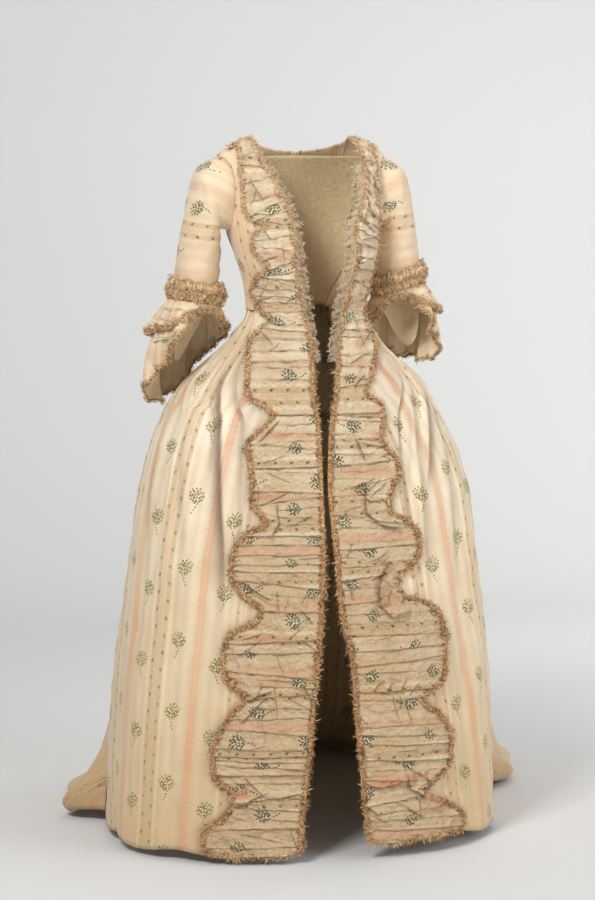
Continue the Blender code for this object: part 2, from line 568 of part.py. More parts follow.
def sleeve(side, name):
    ring = ring_angles()
    share = np.cos(ring)
    height = ARMHOLE["height"] + (ARMHOLE["half_height"] - SLEEVE_RISE) * share
    turn = (ARMHOLE["reach"] - SLEEVE_GAP) * np.sin(ring)
    start = lifted(mirrored(side, turn), height, 0.0)
    rise = ELBOW_RISE[side]
    rows = [start]
    for number, values in enumerate(SLEEVE_RINGS):
        points = arm_ring(side, values[0], 0.0, ring)
        points[:, 2] += rise * number / (len(SLEEVE_RINGS) - 1)
        rows.append(points)
    back = hang(ring, 2.2)
    for step in (0.5, 1.0):
        drop = arm_ring(side, SLEEVE_RINGS[-1][0], -0.003 * step, ring)
        drop[:, 2] += rise - 0.004 * step - TONGUE_DROP * back * step
        rows.append(drop)
    outer = oriented(side, np.array(rows))
    inner = outer - grid_normals(outer, ring=True) * TRIM_WALL
    return shell(name, outer, inner, "silk", ring=True)


def hang(ring, sharpness):
    """1 where the flounces hang longest, 0 on the opposite side of the arm."""
    return ((1 + np.cos(ring - math.radians(FLOUNCE_TURN))) / 2) ** sharpness


def flounce_rows(side, sizes, ring):
    front = np.clip(np.cos(ring - math.radians(FLOUNCE_FRONT)), 0, 1) ** 2
    length = sizes["short"] * (1 - 0.6 * front) + sizes["long"][side] * hang(ring, 2.2)
    flare = sizes["mouth"] + (sizes["flare"] - sizes["mouth"]) * hang(ring, 0.9)
    wave = np.cos(FLOUNCE_WAVES * ring + 0.4)
    rows = []
    for share in FLOUNCE_ROWS:
        spread = flare * math.sin(sizes["curl"] * share) + sizes["wave"] * share * wave
        points = arm_ring(side, FLOUNCE_TOP, sizes["inset"] + TRIM_WALL + spread, ring)
        points[:, 2] += ELBOW_RISE[side] - length * share
        rows.append(points)
    return rows


def flounce(side, name, sizes):
    outer = oriented(side, np.array(flounce_rows(side, sizes, ring_angles())))
    inner = outer - grid_normals(outer, ring=True) * TRIM_WALL
    return shell(name, outer, inner, "silk", ring=True)


def cuff_ruche(side, name):
    """Band of dense gathers over the head of the flounces."""
    ring = ring_angles()
    gather = CUFF["gather"] * np.where(np.arange(ARM_SIDES) % 2 == 0, 1, -1)
    rows = []
    for share in (0.0, 0.3, 0.7, 1.0):
        puff = CUFF["gather"] + CUFF["puff"] * math.sin(math.pi * share)
        height = CUFF["top"] + (CUFF["bottom"] - CUFF["top"]) * share
        points = arm_ring(side, height, CUFF["inset"] + TRIM_WALL + puff + gather, ring)
        points[:, 2] += ELBOW_RISE[side]
        rows.append(points)
    outer = oriented(side, np.array(rows))
    inner = outer - grid_normals(outer, ring=True) * TRIM_WALL
    return shell(name, outer, inner, "trim", ring=True)


# ---------------------------------------------------------------- robings
def robing_rows(rows):
    """Tuck rows with a puffed row between each two: heights, inner reach, outer reach, lift."""
    made = []
    for (high, inner_a, outer_a), (low, inner_b, outer_b) in zip(rows[:-1], rows[1:]):
        puff = TUCK_LIFT * (0.65 + 0.35 * math.sin(high * 290))
        made.append((high, inner_a, outer_a, 0.0))
        made.append(((high + low) / 2, (inner_a + inner_b) / 2, (outer_a + outer_b) / 2, puff))
    made.append((*rows[-1], 0.0))
    return [np.array(column) for column in zip(*made)]


def robing(side, name, rows, spans):
    height, inner, outer, puff = robing_rows(rows)
    start = turn_at(side, inner, height)[:, None]
    end = turn_at(side, outer, height)[:, None]
    share = np.linspace(0, 1, spans + 1)[None, :]
    turn = start + (end - start) * share
    base = SEAM_GAP + CHORD_ALLOWANCE * (BODICE_SEAT[side] if spans < 4 else 1.0)
    lift = base + puff[:, None] * (0.55 + 0.45 * np.sin(math.pi * share))
    height = height[:, None] + np.zeros_like(turn)
    if side > 0:
        turn, lift = turn[:, ::-1], lift[:, ::-1]
    return shell(name, lifted(turn, height, lift + TRIM_WALL), lifted(turn, height, lift), "trim")


# ---------------------------------------------------------------- fringe and net
def fringe(name, path, normals, outward, reach, rise, gap=FRINGE_GAP):
    """Narrow three-sided strip beside an edge, with a strand standing from its points.

    reach and rise say how far each strand stands out from the edge and up from the cloth.
    """
    path, normals = np.asarray(path), unit(np.asarray(normals))
    reach = np.broadcast_to(reach, len(path))
    steps = unit(np.diff(path, axis=0))
    sideways = unit(np.cross(steps, normals[:-1])) * outward
    before = np.concatenate([sideways[:1], sideways])
    after = np.concatenate([sideways, sideways[-1:]])
    bisector = unit(before + after)
    corner = bisector / np.maximum(np.sum(bisector * after, axis=1), CORNER_LIMIT)[:, None]
    points, ups, outs, strands = [], [], [], []
    for i, (point, normal) in enumerate(zip(path, normals)):
        last = i == len(path) - 1
        inside = not last and i > 0 and np.dot(steps[i] - steps[i - 1], bisector[i]) > NOTCH
        points.append(point)
        ups.append(normal)
        outs.append(corner[i])
        if last or inside:
            continue
        if i % STRAND["rest"] != STRAND["rest"] - 1:
            strands.append((len(points) - 1, reach[i] * (0.85 + 0.25 * math.sin(i * 2.3))))
        points.append(point + steps[i] * STRAND["root"])
        ups.append(normal)
        outs.append(after[i])
    points, ups, out = np.array(points), np.array(ups), np.array(outs)
    near = points + out * gap
    far = near + out * STRAND["strip"]
    ridge = (near + far) / 2 + ups * STRAND["height"]
    vertices = list(np.stack([near, ridge, far], axis=1).reshape(-1, 3))
    lengths = dict(strands)
    end = 3 * (len(points) - 1)
    faces = [(0, 1, 2), (end + 2, end + 1, end)]
    for i in range(len(points) - 1):
        a, b = 3 * i, 3 * (i + 1)
        faces.append((a, b, b + 1, a + 1))
        faces.append((a + 2, b + 2, b, a))
        outside = (a + 1, b + 1, b + 2, a + 2)
        if i in lengths:
            tip = (far[i] + far[i + 1]) / 2 + out[i] * lengths[i] + ups[i] * rise
            vertices.append(tip + (points[i + 1] - points[i]) * 0.6 * math.sin(i * 1.7))
            faces += [(outside[k], outside[(k + 1) % 4], len(vertices) - 1) for k in range(4)]
        else:
            faces.append(outside)
    return solid(name, vertices, faces, "fly_fringe")


def body_fringe(side, name, heights, reaches, outward, reach, lift, rise):
    heights = np.array(heights)
    turn = turn_at(side, np.array(reaches), heights)
    path = lifted(turn, heights, lift)
    normals = lifted(turn, heights, 0.01) - lifted(turn, heights, 0.0)
    return fringe(name, path, normals, outward, reach, rise)


def outer_fringe(side, name, rows):
    """Along the serpentine edge, resting just above the panel."""
    heights, _, outer = zip(*rows[1:])
    lift = SEAM_GAP + 2 * CHORD_ALLOWANCE
    return body_fringe(side, name, heights, outer, -side, STRAND["length"], lift, STRAND["rise"])


def opening_fringe(side, name):
    """Down the front opening, level with the cloth; strands are short where the fronts meet."""
    bodice = bodice_edge_heights()[2:-1]
    heights = np.concatenate([bodice, *[np.linspace(high, low, 3)[:-1] for high, low in
                                        zip(SKIRT_LEVELS[1:-1], SKIRT_LEVELS[2:])]])
    gap = robing_edge(1, heights, "inner") + robing_edge(-1, heights, "inner")
    reach = np.clip(gap / 2 - STRAND["strip"] - FRINGE_GAP - 0.001, 0.0015, STRAND["length"])
    edge = panel_edge(side, heights)
    return body_fringe(side, name, heights, edge, side, reach, -SILK_WALL + 0.0002, 0.001)


def hem_fringe(side, name, sizes):
    """Round the lower edge of a flounce."""
    ring = ring_angles()
    points = flounce_rows(side, sizes, ring)[-1]
    radial = np.stack([side * np.cos(ring), -np.sin(ring), np.zeros_like(ring)], axis=-1)
    points = points - radial * TRIM_WALL
    return fringe(name, points, radial, -side, STRAND["length"], 0.0, FLOUNCE_FRINGE_GAP)


def net_frill(side, name):
    """Gathered net standing behind the inner edge of the bodice."""
    count = NET["waves"] * 2 + 1
    heights = np.linspace(NET["top"], NET["bottom"], count)
    edge = robing_edge(side, heights, "inner")
    reach = np.stack([edge + 0.002, edge - NET["width"]], axis=1)
    turn = turn_at(side, reach, heights[:, None] + np.zeros_like(reach))
    wave = NET["wave"] * np.where(np.arange(count) % 2 == 0, 0.0, 1.0)
    drop = np.stack([np.zeros(count), wave], axis=1)
    out = -(SILK_WALL + SEAM_GAP + CHORD_ALLOWANCE) - drop
    height = heights[:, None] + np.zeros_like(reach)
    if side < 0:
        turn, out = turn[:, ::-1], out[:, ::-1]
    return shell(name, lifted(turn, height, out), lifted(turn, height, out - NET_WALL), "net")


# ---------------------------------------------------------------- the gown
def build():
    for old in list(bpy.data.objects):
        bpy.data.objects.remove(old)
    for side, letter in ((-1, "R"), (1, "L")):
        bodice_front(side, "bodice_front_" + letter)
        skirt_front(side, "skirt_front_" + letter)
        sleeve(side, "sleeve_" + letter)
        cuff_ruche(side, "cuff_ruche_" + letter)
        upper, lower = ((BODICE_ROBING_L, SKIRT_ROBING_L) if side > 0
                        else (BODICE_ROBING_R, SKIRT_ROBING_R))
        robing(side, "robing_bodice_" + letter, upper, 3)
        robing(side, "robing_skirt_" + letter, lower, 4)
        outer_fringe(side, "fringe_bodice_" + letter, upper)
        outer_fringe(side, "fringe_skirt_" + letter, lower)
        opening_fringe(side, "fringe_opening_" + letter)
        net_frill(side, "net_frill_" + letter)
        for level, sizes in FLOUNCES.items():
            flounce(side, "flounce_" + level + "_" + letter, sizes)
            hem_fringe(side, "fringe_" + level + "_" + letter, sizes)
    back_lining("back_lining")
    sack_back("sack_back")


build()
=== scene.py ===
import math
from functools import partial

import bpy
import numpy as np
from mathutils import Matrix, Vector


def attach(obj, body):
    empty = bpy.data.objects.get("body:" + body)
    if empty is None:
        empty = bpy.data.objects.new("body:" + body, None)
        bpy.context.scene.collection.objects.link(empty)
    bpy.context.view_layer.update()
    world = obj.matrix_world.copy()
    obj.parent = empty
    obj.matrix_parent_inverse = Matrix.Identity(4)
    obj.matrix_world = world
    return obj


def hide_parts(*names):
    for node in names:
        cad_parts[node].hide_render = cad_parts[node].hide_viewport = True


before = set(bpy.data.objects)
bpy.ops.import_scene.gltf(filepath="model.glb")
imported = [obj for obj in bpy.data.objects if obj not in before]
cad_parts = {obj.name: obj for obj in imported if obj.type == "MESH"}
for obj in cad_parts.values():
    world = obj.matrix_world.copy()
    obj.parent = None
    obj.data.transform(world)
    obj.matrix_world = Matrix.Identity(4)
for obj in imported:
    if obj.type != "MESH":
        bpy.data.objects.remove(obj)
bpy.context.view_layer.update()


# camera, room and light
room = {
    "cameraPlace": (-1.3567, -5.2268, -0.0400), "cameraTurn": -14.5, "cameraDip": 6.06,
    "lens": 110.14, "floor": -1.3700,
    "floorColour": "#DEDEDD",
    "keyPower": 108, "fillPower": 60, "topPower": 27, "backPower": 34, "lowPower": 17, "sky": 0.33,
}


def linear(hexColour):
    # sRGB hex to linear light.
    parts = [int(hexColour[i:i + 2], 16) / 255 for i in (1, 3, 5)]
    return tuple(p / 12.92 if p <= 0.04045 else ((p + 0.055) / 1.055) ** 2.4 for p in parts) + (1.0,)


def addNode(tree, kind, *inputs, out=0, **named):
    # Adds one node, such as "Math.ADD", and returns one of its outputs. Inputs are values or sockets, in
    # order or under their capitalised names; the other names are settings.
    kind, _, operation = kind.partition(".")
    node = tree.nodes.new("ShaderNode" + kind)
    if operation:
        node.operation = operation
    for name, value in named.items():
        if not name[0].isupper():
            setattr(node, name, value)
    places = list(zip([socket for socket in node.inputs if socket.enabled], inputs))
    places += [(node.inputs[name], value) for name, value in named.items() if name[0].isupper()]
    for place, value in places:
        if isinstance(value, bpy.types.NodeSocket):
            tree.links.new(value, place)
        else:
            place.default_value = value
    return node.outputs[out] if out else next(socket for socket in node.outputs if socket.enabled)


def newMaterial(name):
    material = bpy.data.materials.new(name)
    material.use_nodes = True
    tree = material.node_tree
    return material, tree.nodes["Principled BSDF"].inputs, tree.links.new, partial(addNode, tree)


def makeRoom():
    scene = bpy.context.scene
    camera = bpy.data.objects.new("camera", bpy.data.cameras.new("camera"))
    scene.collection.objects.link(camera)
    camera.location = room["cameraPlace"]
    camera.rotation_euler = (math.radians(90 - room["cameraDip"]), 0, math.radians(room["cameraTurn"]))
    camera.data.lens = room["lens"]
    camera.data.sensor_width = 36
    camera.data.clip_end = 60
    scene.camera = camera
    scene.view_settings.view_transform = "Standard"

    # a roll of paper: floor, curve and wall in one sheet
    profile = [(-9.0, 0.0), (2.4, 0.0)]
    profile += [(2.4 + 1.4 * math.sin(a), 1.4 - 1.4 * math.cos(a)) for a in np.linspace(0, math.pi / 2, 14)[1:]]
    profile += [(3.8, 7.0)]
    points, faces = [], []
    for y, z in profile:
        points += [(-9.0, y, room["floor"] + z), (9.0, y, room["floor"] + z)]
    for i in range(len(profile) - 1):
        faces.append((2 * i, 2 * i + 1, 2 * i + 3, 2 * i + 2))
    mesh = bpy.data.meshes.new("paperSweep")
    mesh.from_pydata(points, [], faces)
    mesh.shade_smooth()
    sweep = bpy.data.objects.new("paperSweep", mesh)
    scene.collection.objects.link(sweep)
    paper, inputs, link, node = newMaterial("paperMatt")
    inputs["Base Color"].default_value = linear(room["floorColour"])
    inputs["Roughness"].default_value = 0.85
    inputs["Specular IOR Level"].default_value = 0.2
    # the paper is seen from its front only, so that it hides nothing from behind
    nodes = paper.node_tree.nodes
    sides = node("MixShader", node("NewGeometry", out="Backfacing"), nodes["Principled BSDF"].outputs[0],
                 node("BsdfTransparent"))
    link(sides, nodes["Material Output"].inputs["Surface"])
    mesh.materials.append(paper)

    world = bpy.data.worlds.new("studio")
    scene.world = world
    world.use_nodes = True
    background = world.node_tree.nodes["Background"]
    background.inputs["Color"].default_value = (0.97, 0.98, 1.0, 1.0)
    background.inputs["Strength"].default_value = room["sky"]

    def softLight(name, place, target, size, power, colour=(1, 1, 1)):
        light = bpy.data.objects.new(name, bpy.data.lights.new(name, "AREA"))
        light.data.shape = "RECTANGLE"
        light.data.size, light.data.size_y = size
        light.data.energy = power
        light.data.color = colour
        light.location = place
        light.rotation_euler = (Vector(target) - Vector(place)).to_track_quat("-Z", "Y").to_euler()
        scene.collection.objects.link(light)

    softLight("key", (-2.1, -2.5, 1.9), (0, 0, -0.35), (1.1, 1.1), room["keyPower"], (1, 0.985, 0.96))
    softLight("fill", (3.2, -2.8, 0.6), (0, 0, -0.6), (2.4, 2.4), room["fillPower"])
    softLight("top", (1.1, 0.2, 2.9), (0.7, 0.2, -1.2), (2.5, 2.5), room["topPower"])
    softLight("back", (2.7, 1.0, -0.1), (1.3, 3.8, -1.3), (1.8, 1.8), room["backPower"])
    softLight("low", (1.7, -3.9, -0.85), (0, 0, -0.55), (1.6, 0.8), room["lowPower"])


makeRoom()
print("room, light and camera are set")


# the form under the cloth
waist, hip, hem, floorHeight = -0.335, -0.542, -1.350, -1.370

# millimetres: depth below the neck, centre, half width, front depth, back depth; squareness of the plan
bodyRows = (
    (0, 0, 98, 10, 10, 2), (12, 2, 132, 34, 28, 2), (35, 3, 166, 58, 50, 2.1), (80, 4, 168, 84, 75, 2.2),
    (130, 5, 159, 106, 92, 2.3), (180, 7, 150, 122, 100, 2.3), (230, 9, 138, 130, 98, 2.2),
    (285, 11, 124, 119, 88, 2.1), (335, 11, 119, 108, 80, 2.1), (385, 8, 147, 118, 100, 2.2),
    (430, 6, 192, 138, 125, 2.3), (481, 4, 246, 160, 150, 2.4), (542, 2, 283, 180, 170, 2.4),
    (620, 6, 316, 200, 190, 2.4), (700, 8, 337, 216, 205, 2.4), (812, 7, 352, 235, 225, 2.4),
    (923, 6, 366, 252, 240, 2.4), (1053, 3, 380, 267, 255, 2.4), (1180, 0, 386, 279, 270, 2.4),
    (1355, -2, 391, 290, 280, 2.4),
)


def inColumns(rows, *scales):
    # The columns of a table, each divided by its scale.
    return np.array(rows).T / np.array(scales)[:, None]


def byHeight(rows, *scales):
    # The same for rows that begin with millimetres below the neck, in rising order of height.
    return inColumns(sorted(rows, reverse=True), -1000, *scales)


bodyTable = byHeight(bodyRows, 1000, 1000, 1000, 1000, 1)
bodyNames = ("height", "centre", "half", "front", "back", "square")
# side seam: millimetres below the neck, degrees
seamTable = byHeight(((180, 12), (230, 22), (285, 35), (335, 45), (430, 38), (542, 27), (800, 22), (1355, 20)), 1)
armhole = {"height": -0.108, "half": 0.0725, "reach": 0.34}


def curve(xs, ys, x):
    # Smooth curve through the points, with no bumps between them.
    xs, ys = np.asarray(xs, float), np.asarray(ys, float)
    steps = np.diff(xs)
    slopes = np.diff(ys) / steps
    tangents = np.zeros_like(ys)
    tangents[0], tangents[-1] = slopes[0], slopes[-1]
    same = slopes[:-1] * slopes[1:] > 0
    mean = 2 * slopes[:-1] * slopes[1:] / np.where(same, slopes[:-1] + slopes[1:], 1.0)
    tangents[1:-1] = np.where(same, mean, 0.0)
    x = np.clip(x, xs[0], xs[-1])
    i = np.clip(np.searchsorted(xs, x) - 1, 0, len(xs) - 2)
    h = steps[i]
    t = (x - xs[i]) / h
    return ((1 + 2 * t) * (1 - t) ** 2 * ys[i] + t * (1 - t) ** 2 * h * tangents[i]
            + t * t * (3 - 2 * t) * ys[i + 1] + t * t * (t - 1) * h * tangents[i + 1])


def between(lines, spans):
    # Values between the rows of a table, in so many spans from row to row.
    steps = np.arange(len(lines[0]))
    fine = np.linspace(0, len(steps) - 1, (len(steps) - 1) * spans + 1)
    return fine, [curve(steps, line, fine) for line in lines]


def body(name, height):
    return curve(bodyTable[0], bodyTable[bodyNames.index(name)], height)


def seamAngle(height):
    return np.radians(curve(seamTable[0], seamTable[1], height))


def unit(vectors):
    return vectors / np.maximum(np.linalg.norm(vectors, axis=-1, keepdims=True), 1e-9)


def bodyPoint(turn, height):
    cos, sin = np.cos(turn), np.sin(turn)
    depth = np.where(sin >= 0, body("front", height), body("back", height))
    power = body("square", height)
    radius = ((np.abs(cos) / body("half", height)) ** power + (np.abs(sin) / depth) ** power) ** (-1 / power)
    return np.stack([body("centre", height) + radius * cos, -radius * sin, height + 0 * radius], axis=-1)


def lifted(turn, height, out):
    # Points moved out from the form: turn 0 is the wearer's left, a quarter turn the front.
    turn, height, out = np.broadcast_arrays(*[np.asarray(value, float) for value in (turn, height, out)])
    step = 2e-4
    along = bodyPoint(turn + step, height) - bodyPoint(turn - step, height)
    down = bodyPoint(turn, height - step) - bodyPoint(turn, height + step)
    return bodyPoint(turn, height) + unit(np.cross(along, down)) * out[..., None]


def turnAt(side, reach, height):
    half, power = body("half", height), body("square", height)
    offset = side * reach - body("centre", height)
    share = np.clip(np.abs(offset) / half, 0, 0.985)
    depth = body("front", height) * (1 - share ** power) ** (1 / power)
    return np.arctan2(depth, np.sign(offset) * share * half)


def mirrored(side, turn):
    return turn if side > 0 else math.pi - turn


def armholeTurn(height):
    share = np.clip((height - armhole["height"]) / armhole["half"], -1, 1)
    return armhole["reach"] * np.sqrt(1 - share * share)


def ease(x, low, high):
    t = np.clip((x - low) / (high - low), 0, 1)
    return t * t * (3 - 2 * t)


def ripple(u, v, seed, cell):
    # Soft uneven waves between -1 and 1, with about one bump in each cell.
    random = np.random.default_rng(seed)
    total = np.zeros(np.broadcast(u, v).shape)
    for octave in range(3):
        for _ in range(5):
            angle, phase = random.uniform(0, math.pi), random.uniform(0, 2 * math.pi)
            k = 2 * math.pi / cell * 1.9 ** octave * random.uniform(0.7, 1.3)
            total = total + np.sin(k * (u * math.cos(angle) + v * math.sin(angle)) + phase) / 1.9 ** octave
    return total / 4.5


# making a sheet of cloth
def clothLengths(grid, ring=False):
    # Length along the cloth, across and down, so that its pattern keeps its real size.
    if ring:
        grid = np.concatenate([grid, grid[:, :1]], axis=1)
    across = np.linalg.norm(np.diff(grid, axis=1), axis=-1)
    across = np.concatenate([np.zeros((len(grid), 1)), np.cumsum(across, axis=1)], axis=1)
    down = np.linalg.norm(np.diff(grid, axis=0), axis=-1)
    down = np.concatenate([np.zeros((1, grid.shape[1])), np.cumsum(down, axis=0)], axis=0)
    return np.stack([across, -down], axis=-1)


def meshPiece(name, ending, points, faces, material, uv=None, **attributes):
    # A piece of four-cornered faces, with its cloth lengths and its values at the points.
    mesh = bpy.data.meshes.new(name)
    mesh.vertices.add(points.size // 3)
    mesh.vertices.foreach_set("co", points.reshape(-1).astype(np.float32))
    mesh.loops.add(faces.size)
    mesh.loops.foreach_set("vertex_index", faces.reshape(-1).astype(np.int32))
    mesh.polygons.add(len(faces))
    mesh.polygons.foreach_set("loop_start", (np.arange(len(faces)) * 4).astype(np.int32))
    mesh.update(calc_edges=True)
    if uv is not None:
        layer = mesh.uv_layers.new(name="cloth")
        layer.data.foreach_set("uv", uv.reshape(-1).astype(np.float32))
    for title, values in attributes.items():
        if values is not None:
            layer = mesh.attributes.new(title, "FLOAT", "POINT")
            layer.data.foreach_set("value", values.reshape(-1).astype(np.float32))
    mesh.shade_smooth()
    mesh.validate()
    mesh.materials.append(material)
    piece = bpy.data.objects.new(name + ending, mesh)
    bpy.context.scene.collection.objects.link(piece)
    return piece


def makeSheet(name, grid, uv, material, wall=0.0009, ring=False, shade=None, blush=None, inside=None):
    # The sheet that stands for the part's piece of the same name.
    rows, columns = grid.shape[:2]
    i, j = np.arange(rows - 1)[:, None], np.arange(columns if ring else columns - 1)[None, :]
    after = (j + 1) % columns
    faces = np.stack([i * columns + j, i * columns + after, (i + 1) * columns + after,
                      (i + 1) * columns + j], axis=-1).reshape(-1, 4)
    corners = np.stack([uv[:-1, :-1], uv[:-1, 1:], uv[1:, 1:], uv[1:, :-1]], axis=2)
    # shade is painted shade, kept in the depth attribute
    piece = meshPiece(name, "_silk", grid, faces, material, corners, depth=shade, blush=blush)
    if wall:
        wallMaker = piece.modifiers.new("wall", "SOLIDIFY")
        wallMaker.thickness = wall
        wallMaker.offset = -1
        wallMaker.use_even_offset = False
        if inside:
            piece.data.materials.append(inside)
            wallMaker.material_offset = 1
    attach(piece, "root")
    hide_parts(name)
    return piece


def oriented(side, grid):
    # Columns turned round on one side, so that every sheet faces out.
    return grid if side > 0 else grid[:, ::-1]


def gridNormals(grid, ring=False):
    along = np.roll(grid, -1, axis=1) - np.roll(grid, 1, axis=1) if ring else np.gradient(grid, axis=1)
    return unit(np.cross(along, np.gradient(grid, axis=0)))


def foldEdge(above, depth, width):
    # cloth swells towards the fold, then drops away under it; painted shade darkens the drop
    lift = ease(above, -0.0012, 0.0003) * np.exp(-np.maximum(above, 0) / (width * 0.001)) * depth * 0.0021
    dark = min(1.0, 0.42 + depth / 4.0) * np.exp(-((above + 0.0009) / 0.0011) ** 2)
    under = np.where(above < 0, np.exp(above / 0.0035), np.exp(-(above / 0.0008) ** 2))
    return lift, np.maximum(dark, min(0.5, depth / 9) * under)


def tuckRows(rows):
    # Heights in metres; a tuck with no start and stop of its own runs right across.
    return [(row[0] / -10000, row[1] / -10000, *(row[2:-1] or (-0.10, 1.10)), row[-1]) for row in rows]


def tuckLift(tucks, share, tall):
    # stitched tucks right across or part of the way, the cloth above each lapping the cloth below
    lift, dark = np.zeros_like(tall), np.zeros_like(tall)
    for inner, outer, start, stop, depth in tucks:
        line = inner + (outer - inner) * share
        line = line + 0.0010 * np.sin(share * 9 + inner * 70) + 0.0005 * np.sin(share * 27 + outer * 130)
        gone = ease(share, start - 0.06, start + 0.04) * (1 - ease(share, stop - 0.05, stop + 0.08))
        gone = gone * (0.80 + 0.20 * np.sin(share * 13 + inner * 333))
        rise, shade = foldEdge(tall - line, depth, 4.0 + 1.5 * math.sin(inner * 517))
        shade = shade * (0.72 + 0.38 * np.sin(share * 11 + inner * 211 + np.sin(share * 31 + outer * 77)))
        lift, dark = lift + gone * rise, np.maximum(dark, gone * shade)
    return lift, dark


def pleatLift(pleats, reach, tall):
    # pulled and turned folds: each runs from one point to another and laps to the right of its line
    lift, dark = np.zeros_like(tall), np.zeros_like(tall)
    for height0, reach0, height1, reach1, depth, width in inColumns(pleats, -1000, 1000, -1000, 1000, 1, 1).T:
        run = np.array([reach1 - reach0, height1 - height0])
        length = float(np.hypot(*run))
        along = ((reach - reach0) * run[0] + (tall - height0) * run[1]) / length ** 2
        aside = (run[0] * (tall - height0) - run[1] * (reach - reach0)) / length
        aside = aside - 0.0012 * np.sin(along * 3 + height0 * 90) * 1.4
        gone = ease(along, -0.18, 0.12) * (1 - ease(along, 0.86, 1.18))
        rise, shade = foldEdge(aside, depth, width)
        lift, dark = lift + gone * rise, np.maximum(dark, gone * shade)
    return lift, dark


# the silk and its woven pattern
silk = {
    "repeat": 0.170,            # from one salmon stripe to the next
    "stripeHalf": 0.0066, "toothStep": 0.0062, "toothDepth": 0.0021,
    "sprayRise": 0.138,         # from one spray to the next along the warp
    "sprayStagger": 0.046, "sprayAside": 0.0435,
    "budStep": 0.033, "budAside": 0.0115, "budHalf": 0.0052,
    "bandStep": 0.0235, "bandHalf": 0.0030, "paleAside": 0.0215, "paleHalf": 0.0022,
}
# one spray, drawn in millimetres: across, up, half width, half length, lean in degrees
sprayLeaves = (
    (-6.2, -4.5, 1.8, 2.9, 70), (0.2, -5.4, 2, 3, -20), (6.6, -6.4, 1.6, 2.5, -78),
    (-10.8, -1.4, 1.5, 2.6, 98), (-5.2, 0.8, 2.1, 3.2, 18), (-0.2, 1.4, 2.2, 3, 42), (5.8, 0.2, 2, 3.3, -8),
    (10.6, -3.4, 1.5, 2.7, -96), (-12.6, 4.4, 1.6, 3.1, 44), (-8.4, 6, 2, 3.1, 2), (-3, 6.6, 2.1, 3.2, -30),
    (2.6, 7.2, 2.2, 3.3, 12), (9.2, 3.4, 1.9, 3.2, -64), (14.2, 2.4, 1.4, 2.6, -40),
    (-14, 10.6, 1.3, 2.5, 70), (-6, 12.4, 1.8, 3, 40), (0.4, 12.2, 1.9, 3.2, -8), (6.4, 10.4, 1.9, 3, -52),
    (12.4, 8.8, 1.5, 2.7, -20), (-10, 15.6, 1.3, 2.3, 8), (-2.6, 18.4, 1.4, 2.8, 28),
    (5.2, 16.8, 1.6, 2.7, -28), (-2.6, -8.8, 1.4, 2.4, 60), (3.4, -10.6, 1, 2.4, -34),
    (0.4, -17, 1.5, 2, 25), (-1.6, -22.8, 1.5, 1.8, -20), (-4.6, -28.4, 1.4, 1.7, 10),
)
sprayPetals = (
    (-2.4, 3.8, 1.3, 2.3, 50), (3.4, 3.8, 1.3, 2.4, -10), (-6.4, 8.8, 1.2, 2.1, 72), (7.6, 7, 1.2, 2, -84),
    (-1.2, 9.6, 1.2, 2, 30), (2.2, -2.4, 1.7, 1.8, 0), (-8.8, 2.2, 1, 1.9, -20),
)
budShapes = ((0, 0, 2.2, 2.8, 20), (1.4, -3.8, 0.8, 2, -25))


def ovals(node, place, shapes, soft):
    # A mask of several turned ovals with soft rims.
    nearest = None
    for x, y, halfWidth, halfLength, lean in shapes:
        local = node("Mapping", place, (x, y, 0), (0, 0, math.radians(lean)),
                     (halfWidth * 1.12, halfLength * 1.08, 1), vector_type="TEXTURE")
        length = node("VectorMath.LENGTH", local)
        nearest = length if nearest is None else node("Math.MINIMUM", nearest, length)
    return node("MapRange", nearest, 1.0 + soft, 1.0 - soft, 0.0, 1.0)


